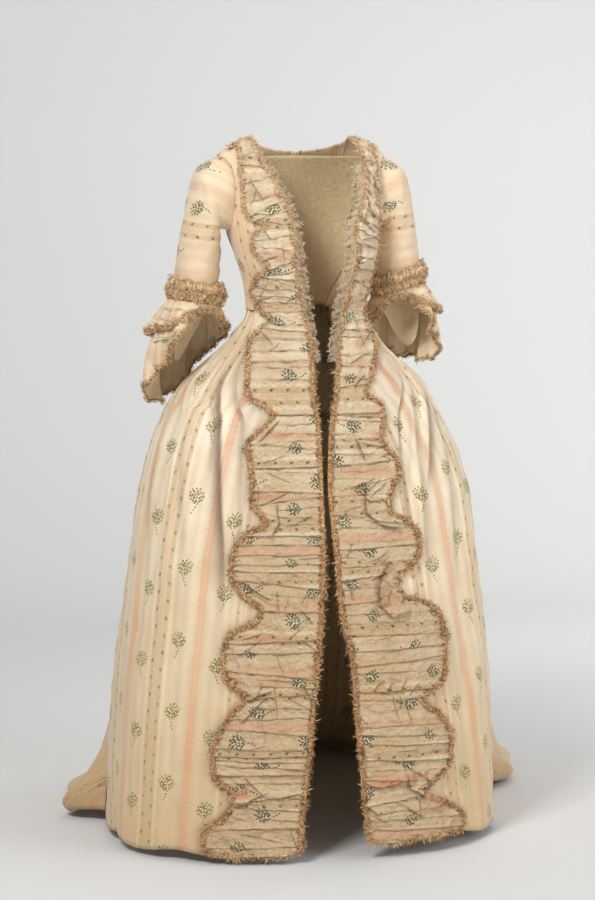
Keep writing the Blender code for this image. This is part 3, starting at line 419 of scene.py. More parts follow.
def silkMaterial(name, *hexColours, pattern=1.0, gloss=0.45, stain=0.35, crumpled=0.30, lowShade=(-0.60, -1.37, 0.62)):
    # Ribbed silk taffeta brocaded with sprays: a dull sheen along the ribs, faded unevenly. Painted shade darkens it
    # from the first height down to the second, where the painted shade has the strength that comes third.
    material, inputs, link, node = newMaterial(name)
    ground, deepGround, stripe, leaf, leafLight, petal = [linear(colour) for colour in hexColours]
    uv = node("UVMap", uv_map="cloth")
    wander = node("TexNoise", Vector=uv, Scale=130.0, Detail=1.0, out="Color")
    wander = node("VectorMath.SUBTRACT", wander, (0.5, 0.5, 0.5))
    across, down = [node("SeparateXYZ", uv, out=axis) for axis in "XY"]

    # stripes and bands, by their distance from the middle between two stripes
    half = silk["repeat"] / 2
    signed = node("Math.SUBTRACT", node("Math.WRAP", across, silk["repeat"], 0.0), half)
    away = node("Math.ABSOLUTE", signed)
    rightSide = node("Math.GREATER_THAN", signed, 0.0)
    fromStripe = node("Math.SUBTRACT", half, away)
    tooth = node("Math.PINGPONG", down, silk["toothStep"])
    tooth = node("Math.MULTIPLY_ADD", tooth, silk["toothDepth"] / silk["toothStep"], silk["stripeHalf"])
    stripeMask = node("Math.LESS_THAN", fromStripe, tooth)
    inStripe = node("Math.MULTIPLY_ADD", node("Math.PINGPONG", fromStripe, 0.0028), 90.0, 0.72)
    stripeMask = node("Math.MULTIPLY", stripeMask, inStripe, use_clamp=True)
    wave = node("Math.MULTIPLY", node("Math.SINE", node("Math.MULTIPLY", down, 420.0)), 0.0016)
    pale = node("Math.SUBTRACT", node("Math.ADD", away, wave), silk["paleAside"])
    paleMask = node("Math.LESS_THAN", node("Math.ABSOLUTE", pale), silk["paleHalf"])
    paleMask = node("Math.MULTIPLY", paleMask, 0.55)
    band = node("Math.LESS_THAN", away, silk["bandHalf"])
    budAway = node("Math.SUBTRACT", away, silk["budAside"])
    budBand = node("Math.LESS_THAN", node("Math.ABSOLUTE", budAway), silk["budHalf"])

    def cell(step, stagger):
        moved = node("Math.MULTIPLY_ADD", rightSide, stagger, down)
        return node("Math.SUBTRACT", node("Math.WRAP", moved, step, 0.0), step / 2), moved

    # sprays, turned over from one to the next, and buds between them; both are placed in millimetres
    millimetres = (1000.0, 1000.0, 0.0)
    sprayUp, moved = cell(silk["sprayRise"], silk["sprayStagger"])
    flip = node("Math.PINGPONG", node("Math.FLOOR", node("Math.DIVIDE", moved, silk["sprayRise"])), 1.0)
    flip = node("Math.MULTIPLY_ADD", flip, 2.0, -1.0)
    sprayAcross = node("Math.MULTIPLY", node("Math.SUBTRACT", away, silk["sprayAside"]), flip)
    place = node("VectorMath.MULTIPLY", node("CombineXYZ", sprayAcross, sprayUp), millimetres)
    place = node("VectorMath.MULTIPLY_ADD", wander, (2.4, 2.4, 0.0), place)
    leaves = ovals(node, place, sprayLeaves, 0.3)
    petals = ovals(node, place, sprayPetals, 0.4)
    budUp, _ = cell(silk["budStep"], silk["budStep"] / 2)
    budPlace = node("VectorMath.MULTIPLY", node("CombineXYZ", budAway, budUp), millimetres)
    buds = ovals(node, budPlace, budShapes, 0.25)

    # the ground is faded in large patches and has deeper warp bands; painted shade darkens it towards the hem
    fade = node("TexNoise", Vector=uv, Scale=7.0, Detail=3.0, Roughness=0.6)
    fade = node("MapRange", fade, 0.35, 0.68, 0.0, stain)
    # painted shade: darker the lower the point, between the two heights
    low = node("SeparateXYZ", node("TexCoord", out="Object"), out="Z")
    low = node("MapRange", low, lowShade[0], lowShade[1], 0.0, lowShade[2])
    bands = node("Math.SINE", node("Math.MULTIPLY", away, 2 * math.pi / silk["bandStep"]))
    bands = node("Math.MULTIPLY_ADD", bands, 0.13 * pattern, 0.13 * pattern)
    worn = node("TexNoise", Vector=uv, Scale=4.0, Detail=1.0)
    worn = node("MapRange", worn, 0.35, 0.65, 0.42 * pattern, 0.85 * pattern)
    tint = node("MapRange", node("TexNoise", Vector=uv, Scale=55.0, Detail=1.0), 0.42, 0.58, 0.0, 1.0)
    green = node("Mix", tint, leaf, leafLight, data_type="RGBA")
    slub = node("TexNoise", Vector=node("Mapping", uv, Scale=(60.0, 900.0, 1.0)), Scale=1.0, Detail=2.0)
    rib = node("MapRange", slub, 0.3, 0.7, 0.93, 1.05)
    # blush is the salmon side of turned folds; depth carries painted shade in creases, under fold edges and beside
    # edges, mixed towards dark brown below
    blush, deep = [node("Attribute", attribute_name=title, attribute_type="GEOMETRY", out="Fac")
                   for title in ("blush", "depth")]

    # colours laid one over the other: where, how strongly, what
    colour = ground
    for mask, strength, above in (
            (fade, 1.0, deepGround), (low, 1.0, deepGround), (bands, 1.0, deepGround),
            (budBand, 0.55 * pattern, deepGround), (stripeMask, worn, stripe),
            (paleMask, 0.4 * pattern, petal), (band, 0.30 * pattern, stripe),
            (leaves, 0.92 * pattern, green), (buds, 0.80 * pattern, green), (petals, 0.55 * pattern, petal),
            (1.0, 1.0, rib), (blush, 0.75, linear("#C4714C")), (deep, 0.80, linear("#5C3517"))):
        colour = node("Mix", node("Math.MULTIPLY", mask, strength), colour, above, data_type="RGBA",
                      blend_type="MULTIPLY" if above is rib else "MIX")

    # weft ribs are 0.5 mm apart in the cloth, drawn three times as coarse so that they show
    ribs = node("TexNoise", Vector=node("Mapping", uv, Scale=(90.0, 620.0, 1.0)), Scale=1.0, Detail=1.0)
    crumple = node("TexNoise", Vector=uv, Scale=42.0, Detail=3.0, Roughness=0.55)
    relief = node("Math.MULTIPLY_ADD", crumple, 12.0 * crumpled, ribs)
    relief = node("Math.MULTIPLY_ADD", stripeMask, 0.25, relief)
    link(colour, inputs["Base Color"])
    link(node("Bump", Height=relief, Strength=crumpled, Distance=0.0012), inputs["Normal"])
    inputs["Roughness"].default_value = gloss
    inputs["Specular IOR Level"].default_value = 0.32
    inputs["Sheen Weight"].default_value = 0.25
    inputs["Sheen Roughness"].default_value = 0.4
    return material


def plainCloth(name, colour, shadeColour, scale, rough=0.8):
    # Plain tabby linen: matt, with slubs in both directions.
    material, inputs, link, node = newMaterial(name)
    uv = node("UVMap", uv_map="cloth")
    warp, weft = [node("TexNoise", Vector=node("Mapping", uv, Scale=size), Scale=1.0, Detail=1.0)
                  for size in ((scale, scale * 0.07, 1.0), (scale * 0.07, scale, 1.0))]
    weave = node("Math.MULTIPLY", node("Math.ADD", warp, weft), 0.5)
    share = node("MapRange", weave, 0.38, 0.62)
    link(node("Mix", share, linear(shadeColour), linear(colour), data_type="RGBA"), inputs["Base Color"])
    link(node("Bump", Height=weave, Strength=0.4, Distance=0.0008), inputs["Normal"])
    inputs["Roughness"].default_value = rough
    return material


def fringeMaterial():
    # Fly fringe: floss silk in tan, olive and faded pink, matt with bright knots.
    material, inputs, link, node = newMaterial("silkFlyFringe")
    ramp = node("ValToRGB", node("Attribute", attribute_name="tone", attribute_type="GEOMETRY", out="Fac"))
    stops = ((0.0, "#553419"), (0.14, "#85592E"), (0.34, "#B58C55"), (0.54, "#D0986A"), (0.74, "#E6C792"),
             (0.9, "#B9A066"), (1.0, "#55552C"))
    elements = ramp.node.color_ramp.elements
    while len(elements) < len(stops):
        elements.new(0.5)
    for element, (place, colour) in zip(elements, stops):
        element.position, element.color = place, linear(colour)
    # painted light: paler about the neck than at the hem
    high = node("SeparateXYZ", node("TexCoord", out="Object"), out="Z")
    high = node("MapRange", high, -0.55, -0.15, 0.0, 0.34)
    link(node("Mix", high, ramp, linear("#F0DDB6"), data_type="RGBA"), inputs["Base Color"])
    inputs["Roughness"].default_value = 0.7
    inputs["Sheen Weight"].default_value = 0.3
    return material


def netMaterial():
    # Fine silk net gone grey with age; its holes are drawn far larger than they are.
    material, inputs, link, node = newMaterial("silkNet")
    mesh = node("TexVoronoi", Vector=node("UVMap", uv_map="cloth"), Scale=620.0, feature="DISTANCE_TO_EDGE")
    link(node("MapRange", mesh, 0.10, 0.22, 0.85, 0.12), inputs["Alpha"])
    inputs["Base Color"].default_value = linear("#DACBB0")
    inputs["Roughness"].default_value = 0.8
    return material


def threadMaterial():
    # Frayed edge of the net: matt grey-tan silk.
    material, inputs, _, _ = newMaterial("silkNetThread")
    inputs["Base Color"].default_value = linear("#D8C5A2")
    inputs["Roughness"].default_value = 0.85
    return material


# colours of each silk: ground, deeper ground, stripe, leaf, lighter leaf, petal
# the last setting of a silk places its painted shade towards the hem: where it starts, where it is deepest, and how
# deep
skirtSilk = silkMaterial("silkTaffetaBrocaded", "#F7E9D0", "#CBAC7E", "#DFA179", "#6C6A34", "#A09248",
                         "#F2E6C4", gloss=0.5, lowShade=(-0.55, -1.37, 0.82))
trimSilk = silkMaterial("silkTaffetaTrimming", "#EBDABC", "#B6966A", "#CC9A76", "#1E2D1B", "#54613A",
                        "#F4EACC", gloss=0.46, stain=0.6, crumpled=0.95, lowShade=(-0.35, -0.88, 0.57))
backSilk = silkMaterial("silkTaffetaBack", "#F1E0C4", "#C9A97B", "#DBA27B", "#6C6B3A", "#93894D", "#E8DCBC",
                        gloss=0.5, stain=0.5, lowShade=(-0.55, -1.37, 0.85))
# the reverse of the silk, with little pattern, inside the sleeves and flounces; its pale ground is partly painted
# light on those insides
plainSilk = silkMaterial("silkTaffetaReverse", "#F8E6C6", "#E6CCA4", "#D3A680", "#8A7A4C", "#9C8958",
                         "#D6C197", pattern=0.30, gloss=0.55, stain=0.7)
linen = plainCloth("linenTabby", "#D9C7A2", "#BBA47C", 700.0)
sleeveSilk = silkMaterial("silkTaffetaSleeve", "#EFDBBD", "#D2B289", "#DFB593", "#3F4D35", "#727349",
                          "#E8DBB8", gloss=0.48, stain=0.5)
bodiceSilk = silkMaterial("silkTaffetaBodice", "#F3D9BA", "#E0BE97", "#E2AB8A", "#66673F", "#918951",
                          "#EBDCBC", gloss=0.5, stain=0.45)
cuffSilk = silkMaterial("silkTaffetaCuff", "#F0D4AC", "#DDB284", "#E0A27C", "#7A7443", "#9A8F55", "#F2E4C4",
                        pattern=0.5, gloss=0.5, stain=0.6)
flyFringe, silkNet, netThread = fringeMaterial(), netMaterial(), threadMaterial()
print("silk, linen, fringe and net are mixed")


# bodice and skirt robings in millimetres: depth below the neck, inner edge and outer edge from the middle
bodiceRobingRight = (
    (12, 99, 126), (32, 93, 130), (55, 84, 130), (80, 73, 129), (105, 63, 129), (128, 55, 128),
    (147, 49, 124), (160, 45, 112), (169, 44, 88), (190, 42, 113), (214, 40, 112), (234, 39, 96),
    (249, 38, 84), (266, 34, 100), (297, 27, 106), (318, 21, 100), (337, 18, 89), (352, 15, 76),
    (371, 12, 98), (390, 11, 117), (420, 10, 128), (450, 12, 136), (484, 16, 141), (519, 15, 131),
)
bodiceRobingLeft = (
    (12, 101, 130), (34, 106, 138), (56, 109, 140), (82, 107, 140), (109, 103, 139), (130, 96, 138),
    (149, 87, 138), (168, 78, 137), (188, 74, 137), (213, 82, 137), (236, 80, 134), (257, 75, 129),
    (278, 70, 123), (302, 65, 114), (335, 58, 108), (356, 53, 111), (383, 46, 124), (405, 42, 126),
    (427, 39, 117), (458, 32, 106), (487, 27, 88), (519, 19, 120),
)
skirtRobingRight = (
    (527, 11, 91), (554, 11, 119), (578, 10, 148), (612, 11, 147), (650, 11, 145), (690, 12, 146),
    (711, 12, 132), (730, 12, 121), (752, 12, 164), (788, 13, 187), (830, 16, 190), (863, 18, 168),
    (890, 20, 138), (914, 22, 150), (932, 24, 192), (966, 28, 207), (1000, 34, 210), (1027, 36, 200),
    (1053, 40, 168), (1083, 44, 195), (1131, 48, 224), (1176, 54, 233), (1206, 58, 230), (1228, 61, 205),
    (1253, 64, 198), (1282, 68, 217), (1303, 70, 248), (1350, 72, 254),
)
skirtRobingLeft = (
    (527, 16, 122), (552, 12, 120), (577, 8, 109), (595, 6, 122), (618, 4, 143), (644, 2, 147),
    (668, 1, 130), (697, 2, 121), (719, 3, 126), (733, 4, 160), (760, 6, 180), (790, 9, 182),
    (818, 10, 160), (837, 11, 130), (874, 12, 141), (893, 14, 198), (920, 18, 224), (956, 26, 228),
    (1002, 34, 231), (1042, 36, 224), (1072, 37, 175), (1108, 39, 217), (1150, 42, 240), (1202, 47, 236),
    (1254, 50, 171), (1273, 52, 216), (1297, 54, 254), (1320, 56, 270), (1350, 58, 268),
)
bodiceFootRight = bodiceRobingRight[:-1] + ((499, 15.5, 134), (511, 15, 112), (528.5, 13, 94))
bodiceFootLeft = bodiceRobingLeft[:-1] + ((519, 19, 121), (528.5, 17, 120))
skirtHemRight = skirtRobingRight[:-1] + ((1330, 71.5, 253), (1342, 74, 248), (1349, 82, 240), (1353, 94, 226))
skirtHemLeft = skirtRobingLeft[:-2] + ((1315, 56, 269), (1328, 58, 267), (1336, 62, 260), (1341, 72, 244))
robingEdges = {-1: byHeight(bodiceRobingRight + skirtRobingRight, 1000, 1000),
               1: byHeight(bodiceRobingLeft + skirtRobingLeft, 1000, 1000)}


def robingEdge(side, height, column):
    return np.interp(height, robingEdges[side][0], robingEdges[side][column])


# tucks: tenths of a millimetre down to the inner end and the outer end, where a tuck that doesn't run
# right across starts and stops, depth in mm
skirtTucksLeft = (
    (5290, 5377, 2.5), (5380, 5454, 1.5), (5631, 5754, -0.1, 0.57, 1), (5798, 5757, 0.55, 1.1, 2),
    (5733, 5911, 0.57, 1.1, 2), (6008, 6081, -0.1, 0.69, 1.5), (6259, 6174, 2.5),
    (6356, 6356, -0.1, 0.51, 1.2), (6468, 6527, -0.1, 0.63, 1.2), (6780, 6465, 0.4, 0.78, 2),
    (6803, 6803, -0.1, 0.61, 2), (7164, 7235, -0.1, 0.57, 2.5), (7157, 7401, 0.5, 1.1, 2.5),
    (7390, 7461, 1.5), (7821, 7765, 3), (7953, 8050, -0.1, 0.57, 1.2), (8142, 8142, -0.1, 0.49, 1.5),
    (7668, 8661, 0.7, 1.1, 2.5), (8401, 8292, -0.1, 0.74, 3), (8544, 8544, -0.1, 0.68, 1),
    (8856, 8718, -0.1, 0.53, 2.5), (9034, 9058, -0.1, 0.66, 2), (9195, 9224, -0.1, 0.63, 1.5),
    (9412, 9501, 1.5), (9735, 9718, 2.5), (10019, 9924, 2.5), (10136, 10192, -0.1, 0.54, 2),
    (10508, 10523, 3.3), (10655, 10695, 1.2), (11160, 11207, 1.6), (11303, 11464, 2), (11484, 11627, 2),
    (11786, 11928, 3), (11657, 12379, 0.53, 1.1, 2.5), (11969, 12110, -0.1, 0.62, 1.2),
    (12153, 12303, -0.1, 0.65, 2.5), (12290, 12364, -0.1, 0.66, 2), (12678, 12540, 2), (12831, 12812, 1.5),
    (12943, 13030, 1.5), (13119, 13272, 2), (13315, 13441, 1.2),
)
skirtTucksRight = (
    (5447, 5469, -0.1, 0.74, 2), (5627, 5627, -0.1, 0.57, 1.5), (5740, 5824, -0.1, 0.78, 1.5),
    (5920, 5813, 1.5), (6250, 6267, 2.5), (6383, 6261, -0.1, 0.59, 1), (6737, 6671, 2.5), (6798, 6944, 2),
    (6983, 7070, -0.1, 0.67, 1.5), (7201, 7146, 0.21, 0.75, 2), (7335, 7281, 0.22, 0.76, 2),
    (7535, 7515, 2.5), (7698, 7680, 2.5), (7892, 7872, 2), (8070, 8051, 2), (8224, 8168, 2),
    (8554, 8315, 2.5), (8695, 8575, -0.1, 0.64, 1.5), (8970, 8916, 3), (10629, 8248, 0.77, 1.1, 2.5),
    (9460, 9536, 2.2), (9705, 9705, 2.5), (10211, 10020, 2.5), (10268, 10151, -0.1, 0.62, 1.5),
    (10386, 10276, -0.1, 0.65, 2), (10469, 10558, 2.5), (10771, 10691, -0.1, 0.68, 1.5), (10924, 10940, 2),
    (11268, 11097, 2), (11539, 11488, 1.6), (11656, 11639, 2.5), (11779, 11696, 2), (11901, 11783, 2),
    (11998, 11980, 2.5), (12147, 12129, 1.5), (12464, 12318, -0.1, 0.55, 2), (12330, 12523, 3),
    (12700, 12566, 2), (12862, 12794, -0.1, 0.47, 1.2), (12993, 13010, 2.5), (13347, 13385, 1.5),
)
bodiceTucksRight = (
    (317, 409, 1.5), (617, 550, 1.5), (778, 918, 1.8), (1076, 1300, 1.5), (1222, 1532, 2),
    (1414, 1617, 1.5), (1690, 1621, -0.1, 0.75, 2), (1869, 1987, 1.8), (2161, 2077, -0.1, 0.73, 2),
    (2329, 2522, 2), (2532, 2640, 2), (2721, 2652, 1.6), (2916, 2868, 1.5), (3052, 3017, 1.5),
    (3156, 3156, 1.5), (3321, 3374, 1.5), (3602, 3617, 2), (3750, 3693, 2), (3900, 3900, 1.6),
    (4094, 4146, 2.5), (4272, 4324, 1.6), (4391, 4430, -0.1, 0.78, 2), (4645, 4622, -0.1, 0.66, 1.8),
)
bodiceTucksLeft = (
    (222, 310, 1.5), (452, 526, 1.8), (766, 1115, 2.5), (989, 1387, 2.5), (1305, 1633, 2.5),
    (1578, 1773, 2.5), (1747, 2004, 2.5), (2013, 2174, 2), (2269, 2377, 1.8), (2485, 2565, 1.8),
    (2697, 2935, 2.5), (3043, 2997, 2), (3282, 3379, 0.23, 1.1, 2), (3525, 3540, 0.21, 1.1, 1.6),
    (3696, 3803, 0.24, 1.1, 2), (3835, 3943, 1.5), (4195, 4215, 2), (4388, 4442, 1.8), (4598, 4665, 2),
    (4796, 4737, 1.8),
)


# turned and pulled folds in mm: how far down and how far out both ends are, depth and width
pleatsRight = (
    (542, 89, 575, 128, 3, 7), (724, 99, 752, 113, 4, 9), (694, 100, 724, 99, 3.5, 9),
    (659, 135, 694, 137, 1.6, 6), (674, 82, 694, 135, 2.2, 6), (869, 120, 841, 164, 2.6, 7),
    (856, 110, 893, 104, 2, 6), (977, 111, 1011, 99, 1.3, 5), (1042, 126, 1059, 170, 4, 9),
    (1051, 133, 1098, 176, 2.6, 8), (1031, 116, 1087, 116, 1.5, 5), (1236, 145, 1256, 196, 4, 9),
    (1236, 145, 1201, 173, 2.2, 6), (1241, 156, 1266, 152, 1.5, 5), (1241, 148, 1268, 141, 1.5, 5),
    (1307, 92, 1346, 81, 2.2, 6), (1064, 43, 1036, 63, 2.6, 5), (1128, 66, 1159, 57, 2.2, 5),
    (968, 39, 949, 59, 2.2, 5), (854, 50, 879, 60, 1.6, 5), (1051, 148, 1025, 140, 1.6, 5),
    (914, 42, 891, 65, 2.2, 5), (1122, 195, 1154, 203, 1.4, 5), (964, 192, 997, 182, 1.4, 5),
    (973, 178, 945, 137, 1.6, 6), (837, 122, 852, 152, 1.4, 5), (791, 26, 797, 61, 1.2, 5),
    (930, 137, 945, 172, 1.8, 6), (1260, 51, 1238, 74, 2.4, 5), (714, 38, 732, 66, 1.2, 5),
    (1098, 142, 1136, 139, 1, 6), (924, 66, 946, 89, 1.2, 6), (604, 82, 614, 123, 1.2, 6),
    (652, 69, 633, 117, 1.1, 7), (1071, 55, 1058, 89, 1, 6), (864, 88, 890, 93, 1, 6),
    (1143, 143, 1154, 190, 1, 6), (1325, 120, 1311, 175, 1, 8), (303, 78, 312, 94, 1.4, 5),
    (122, 96, 85, 111, 1.6, 5), (131, 116, 103, 102, 1.4, 5), (196, 84, 169, 97, 1.8, 5),
    (148, 87, 150, 109, 1.8, 5), (224, 74, 237, 95, 2, 5), (312, 89, 282, 82, 1.8, 5),
    (400, 82, 373, 94, 2, 5), (398, 68, 414, 92, 1.6, 5), (206, 63, 237, 58, 1.2, 5),
    (306, 45, 321, 61, 1.2, 5),
)
pleatsLeft = (
    (576, 62, 615, 73, 3.6, 9), (662, 75, 712, 72, 4, 10), (712, 72, 736, 95, 4.2, 10),
    (736, 95, 743, 133, 4.2, 9), (694, 77, 693, 101, 2.2, 4), (664, 47, 649, 91, 2.2, 6),
    (673, 74, 651, 99, 2, 5), (683, 85, 658, 111, 2, 5), (702, 133, 658, 124, 2.2, 6),
    (808, 114, 850, 92, 5.5, 13), (850, 92, 886, 88, 5.5, 12), (885, 137, 829, 144, 5, 10),
    (889, 90, 912, 116, 4.5, 10), (912, 116, 903, 151, 4.5, 9), (838, 78, 830, 103, 3.4, 5),
    (1047, 75, 1029, 92, 2.6, 6), (1054, 97, 1036, 112, 2.6, 6), (1052, 126, 1034, 141, 2.6, 6),
    (1059, 144, 1042, 166, 2.6, 6), (1103, 124, 1062, 109, 1.7, 5), (1085, 127, 1062, 123, 2.6, 5),
    (1109, 149, 1064, 133, 2.1, 5), (1086, 40, 1110, 61, 1.8, 6), (1209, 132, 1178, 127, 1.6, 6),
    (1212, 139, 1243, 144, 4, 9), (1243, 144, 1258, 180, 4, 9), (1248, 189, 1215, 174, 2.6, 8),
    (1216, 47, 1235, 83, 3, 6), (1235, 83, 1219, 136, 3.5, 7), (1237, 107, 1221, 99, 1.8, 4),
    (1233, 122, 1217, 114, 1.8, 4), (1264, 54, 1285, 76, 2.6, 6), (1275, 140, 1297, 167, 3.2, 7),
    (1296, 160, 1262, 161, 2.4, 6), (1284, 72, 1300, 94, 1.6, 6), (1323, 226, 1300, 250, 3, 7),
    (1283, 191, 1274, 222, 2.6, 6), (594, 99, 580, 125, 2.4, 6), (582, 90, 577, 64, 2.4, 6),
    (613, 106, 597, 132, 1.6, 6), (793, 27, 767, 42, 2, 5), (838, 29, 872, 37, 2.4, 5),
    (950, 34, 916, 24, 2.2, 5), (978, 22, 1004, 44, 1.6, 5), (1187, 44, 1213, 59, 2, 5),
    (953, 86, 941, 131, 1, 6), (861, 118, 890, 104, 2.2, 5), (803, 80, 787, 109, 1.8, 6),
    (856, 22, 852, 58, 1, 6), (1168, 121, 1164, 162, 1.2, 6), (1073, 169, 1099, 194, 1.6, 6),
    (1129, 29, 1121, 57, 1.2, 6), (707, 31, 701, 65, 1.2, 6), (85, 81, 123, 97, 2.4, 6),
    (76, 125, 122, 139, 2.4, 6), (115, 107, 157, 121, 2.6, 6), (151, 132, 191, 150, 2, 6),
    (151, 90, 183, 115, 2.6, 6), (198, 91, 191, 125, 2.4, 5), (239, 82, 228, 115, 2.4, 5),
    (287, 130, 314, 99, 2.4, 5), (327, 111, 316, 127, 2.2, 5), (377, 121, 403, 92, 2.4, 6),
    (433, 62, 423, 93, 2, 5), (476, 67, 456, 88, 2.2, 5),
)
# where a turned fold shows its salmon side: how far down and out in mm, half sizes in mm and strength
blushRight = (
    (515, 127, 12, 6, 0.6), (722, 129, 6, 16, 0.8), (568, 87, 24, 8, 0.45), (683, 120, 32, 10, 0.4),
    (1020, 187, 10, 12, 0.7), (1025, 129, 24, 8, 0.5), (1235, 179, 16, 12, 0.9), (919, 183, 12, 10, 0.6),
    (759, 165, 10, 18, 0.45), (824, 194, 8, 24, 0.4), (574, 50, 28, 8, 0.3), (945, 126, 44, 8, 0.5),
)
blushLeft = (
    (573, 99, 14, 10, 0.5), (670, 131, 12, 18, 0.9), (886, 98, 6, 14, 1), (856, 136, 6, 24, 1),
    (886, 123, 16, 10, 0.45), (633, 64, 44, 10, 0.3), (1227, 95, 40, 8, 0.9), (1224, 153, 8, 12, 0.9),
    (1281, 208, 12, 8, 0.8), (1063, 67, 40, 6, 0.6), (680, 54, 20, 8, 0.5), (316, 126, 12, 10, 0.7),
    (198, 95, 14, 8, 0.5), (534, 112, 40, 4, 0.6), (403, 83, 10, 10, 0.5),
)


# bodice and its lining
bodice = {"chest": -0.175, "lap": 7.0, "rows": 76, "columns": 54, "wall": 0.0010}


def bodiceFront(side, name):
    over = bodice["chest"] * np.linspace(0, 1, 9) ** 1.25
    edgeHeight = np.minimum(np.concatenate([over, np.linspace(bodice["chest"], waist, 7)[1:]]), -0.0005)
    roundHole = np.linspace(0, math.pi, 9)
    sideHeight = armhole["height"] + armhole["half"] * np.cos(roundHole)
    sideTurn = armhole["reach"] * np.sin(roundHole)
    sideTurn[0] = math.radians(1)
    seamHeight = np.linspace(-0.1825, waist, 6)
    seamTurn = -(seamAngle(seamHeight) + math.radians(bodice["lap"]))
    seamTurn[0] = math.radians(-12)
    sideHeight, sideTurn = np.concatenate([sideHeight, seamHeight]), np.concatenate([sideTurn, seamTurn])
    neckTurn = mirrored(side, turnAt(side, robingEdge(side, edgeHeight, 1), edgeHeight))
    neckTurn[0] = math.radians(1)
    fine = np.linspace(0, 14, bodice["rows"])
    steps = np.arange(15)
    across = np.linspace(0, 1, bodice["columns"])[None, :]
    turn, height = [
        np.interp(fine, steps, near)[:, None] * (1 - across) + np.interp(fine, steps, far)[:, None] * across
        for near, far in ((neckTurn, sideTurn), (edgeHeight, sideHeight))]
    height = np.maximum(height, waist + 0.0003)
    # slight drag lines under the arm and at the waist seam
    drag = ripple(turn * 0.13, height * 0.35, 11 + side, 0.030) * 0.0007
    drag = drag - 0.0008 * np.exp(-((height + 0.300) / 0.02) ** 2) * (1 + np.sin(turn * 40)) * ease(across, 0.5, 1.0)
    out = np.minimum(drag, 0.0)
    turn = mirrored(side, turn)
    turn, height, out = [oriented(-side, values) for values in (turn, height, out)]
    grid = lifted(turn, height, out)
    # the salmon stripe runs down beside the robing
    uv = clothLengths(grid)
    uv[..., 0] = (turn - mirrored(side, 1.03 if side < 0 else 0.55)) * 0.14
    uv[..., 1] = height
    return makeSheet(name, grid, uv, bodiceSilk, wall=bodice["wall"])


def backLining(name):
    rows, columns = 40, 60
    share = np.linspace(0, 1, rows)
    low = armhole["height"] - armhole["half"]
    roundHole = armhole["height"] + armhole["half"] * np.cos(math.pi * (0.04 + 0.96 * share / 0.5))
    sideHeight = np.where(share <= 0.5, roundHole, low + (waist + 0.004 - low) * (share - 0.5) / 0.5)
    seam = seamAngle(sideHeight) + math.radians(bodice["lap"]) - 0.035
    start = np.where(sideHeight > low + 0.001, armholeTurn(sideHeight), seam)
    centreHeight = np.linspace(-0.034, waist + 0.004, rows)
    across = np.abs(np.linspace(-1, 1, columns))[None, :]
    signs = np.linspace(-1, 1, columns)[None, :]
    turn = -math.pi / 2 - signs * (math.pi / 2 - start[:, None])
    height = centreHeight[:, None] + (sideHeight - centreHeight)[:, None] * across ** 2
    grid = lifted(turn, height, -0.0024 - 0.0006 * (1 + np.sin(turn * 31)) * ease(-height, 0.25, 0.33))[:, ::-1]
    return makeSheet(name, grid, clothLengths(grid), linen, wall=0.0010)


# front skirts
skirt = {"rows": 120, "spansEach": 8, "wall": 0.0010}
# thousandths of the way from the opening to the side seam at waist, hip and hem, then how many
# millimetres each fold takes the cloth in at waist, hip and hem
skirtLines = (
    (0, 0, 0, 0, 0, 0), (120, 85, 70, 0, 0, 0), (240, 170, 140, 0, 0, 0), (360, 260, 215, 0, 0, 0),
    (470, 345, 290, 0, 0, 0), (467, 343, 291, 4, 4, 1), (480, 350, 310, 9, 9, 2), (510, 372, 345, 6, 6, 1),
    (550, 410, 390, 3, 4, 4), (600, 455, 440, 0, 1, 7), (606, 458, 470, 3, 3, 3), (640, 480, 490, 4, 4, 1),
    (690, 535, 545, 3, 3, 0), (740, 590, 605, 0, 0, 0), (746, 594, 640, 5, 4, 1), (780, 620, 670, 6, 5, 3),
    (830, 690, 715, 2, 3, 6), (880, 760, 780, 0, 0, 6), (886, 764, 800, 4, 3, 5), (915, 790, 840, 5, 4, 4),
    (950, 880, 920, 2, 2, 1), (1000, 1000, 1000, 0, 0, 0),
)
# soft folds: thousandths of the way at the top and at the foot, mm down to both, width, depth in mm
skirtFolds = {
    -1: (
        (530, 360, 360, 950, 30, 3), (600, 470, 380, 1200, 22, 2.2), (660, 550, 400, 1340, 35, 3.2),
        (740, 660, 420, 1050, 25, 2.4), (800, 740, 400, 1340, 30, 3.5), (880, 850, 450, 1340, 40, 3),
        (500, 320, 600, 1340, 20, 1.6), (570, 420, 800, 1340, 18, 1.8), (700, 610, 700, 1340, 15, 1.6),
        (930, 920, 500, 1340, 30, 3),),
    1: (
        (500, 330, 370, 800, 22, 4), (560, 400, 360, 660, 18, 5), (610, 470, 380, 1100, 30, 3.4),
        (690, 570, 400, 1340, 28, 3), (780, 680, 420, 1340, 30, 3.4), (860, 820, 440, 1340, 35, 3),
        (540, 370, 700, 1340, 20, 2.2), (640, 520, 750, 1340, 18, 1.8), (740, 630, 600, 1000, 15, 1.6),
        (930, 920, 500, 1340, 30, 3),),
}
# shade beside the folded edges, in the same units: both ends, width, strength
skirtShadows = {
    -1: (
        (473, 346, 385, 980, 30, 1), (616, 476, 400, 900, 22, 0.25), (752, 630, 400, 900, 22, 0.3),),
    1: (
        (475, 347, 400, 950, 22, 0.55), (556, 400, 470, 720, 26, 0.85), (616, 476, 380, 900, 25, 0.4),
        (752, 630, 400, 900, 22, 0.3),),
}
# where the salmon stripe beside the robing lies on each front: mm down and degrees from the side
stripeLine = {
    -1: (
        (335, 52), (499, 43.6), (567, 41.6), (648, 39.8), (722, 38.8), (806, 38), (947, 38.2), (1060, 38.2),
        (1174, 37.9), (1350, 37),),
    1: (
        (335, 50), (564, 38.4), (641, 37.2), (777, 37.6), (892, 37.6), (947, 36.4), (1081, 33.9),
        (1181, 32.2), (1350, 28.5),),
}


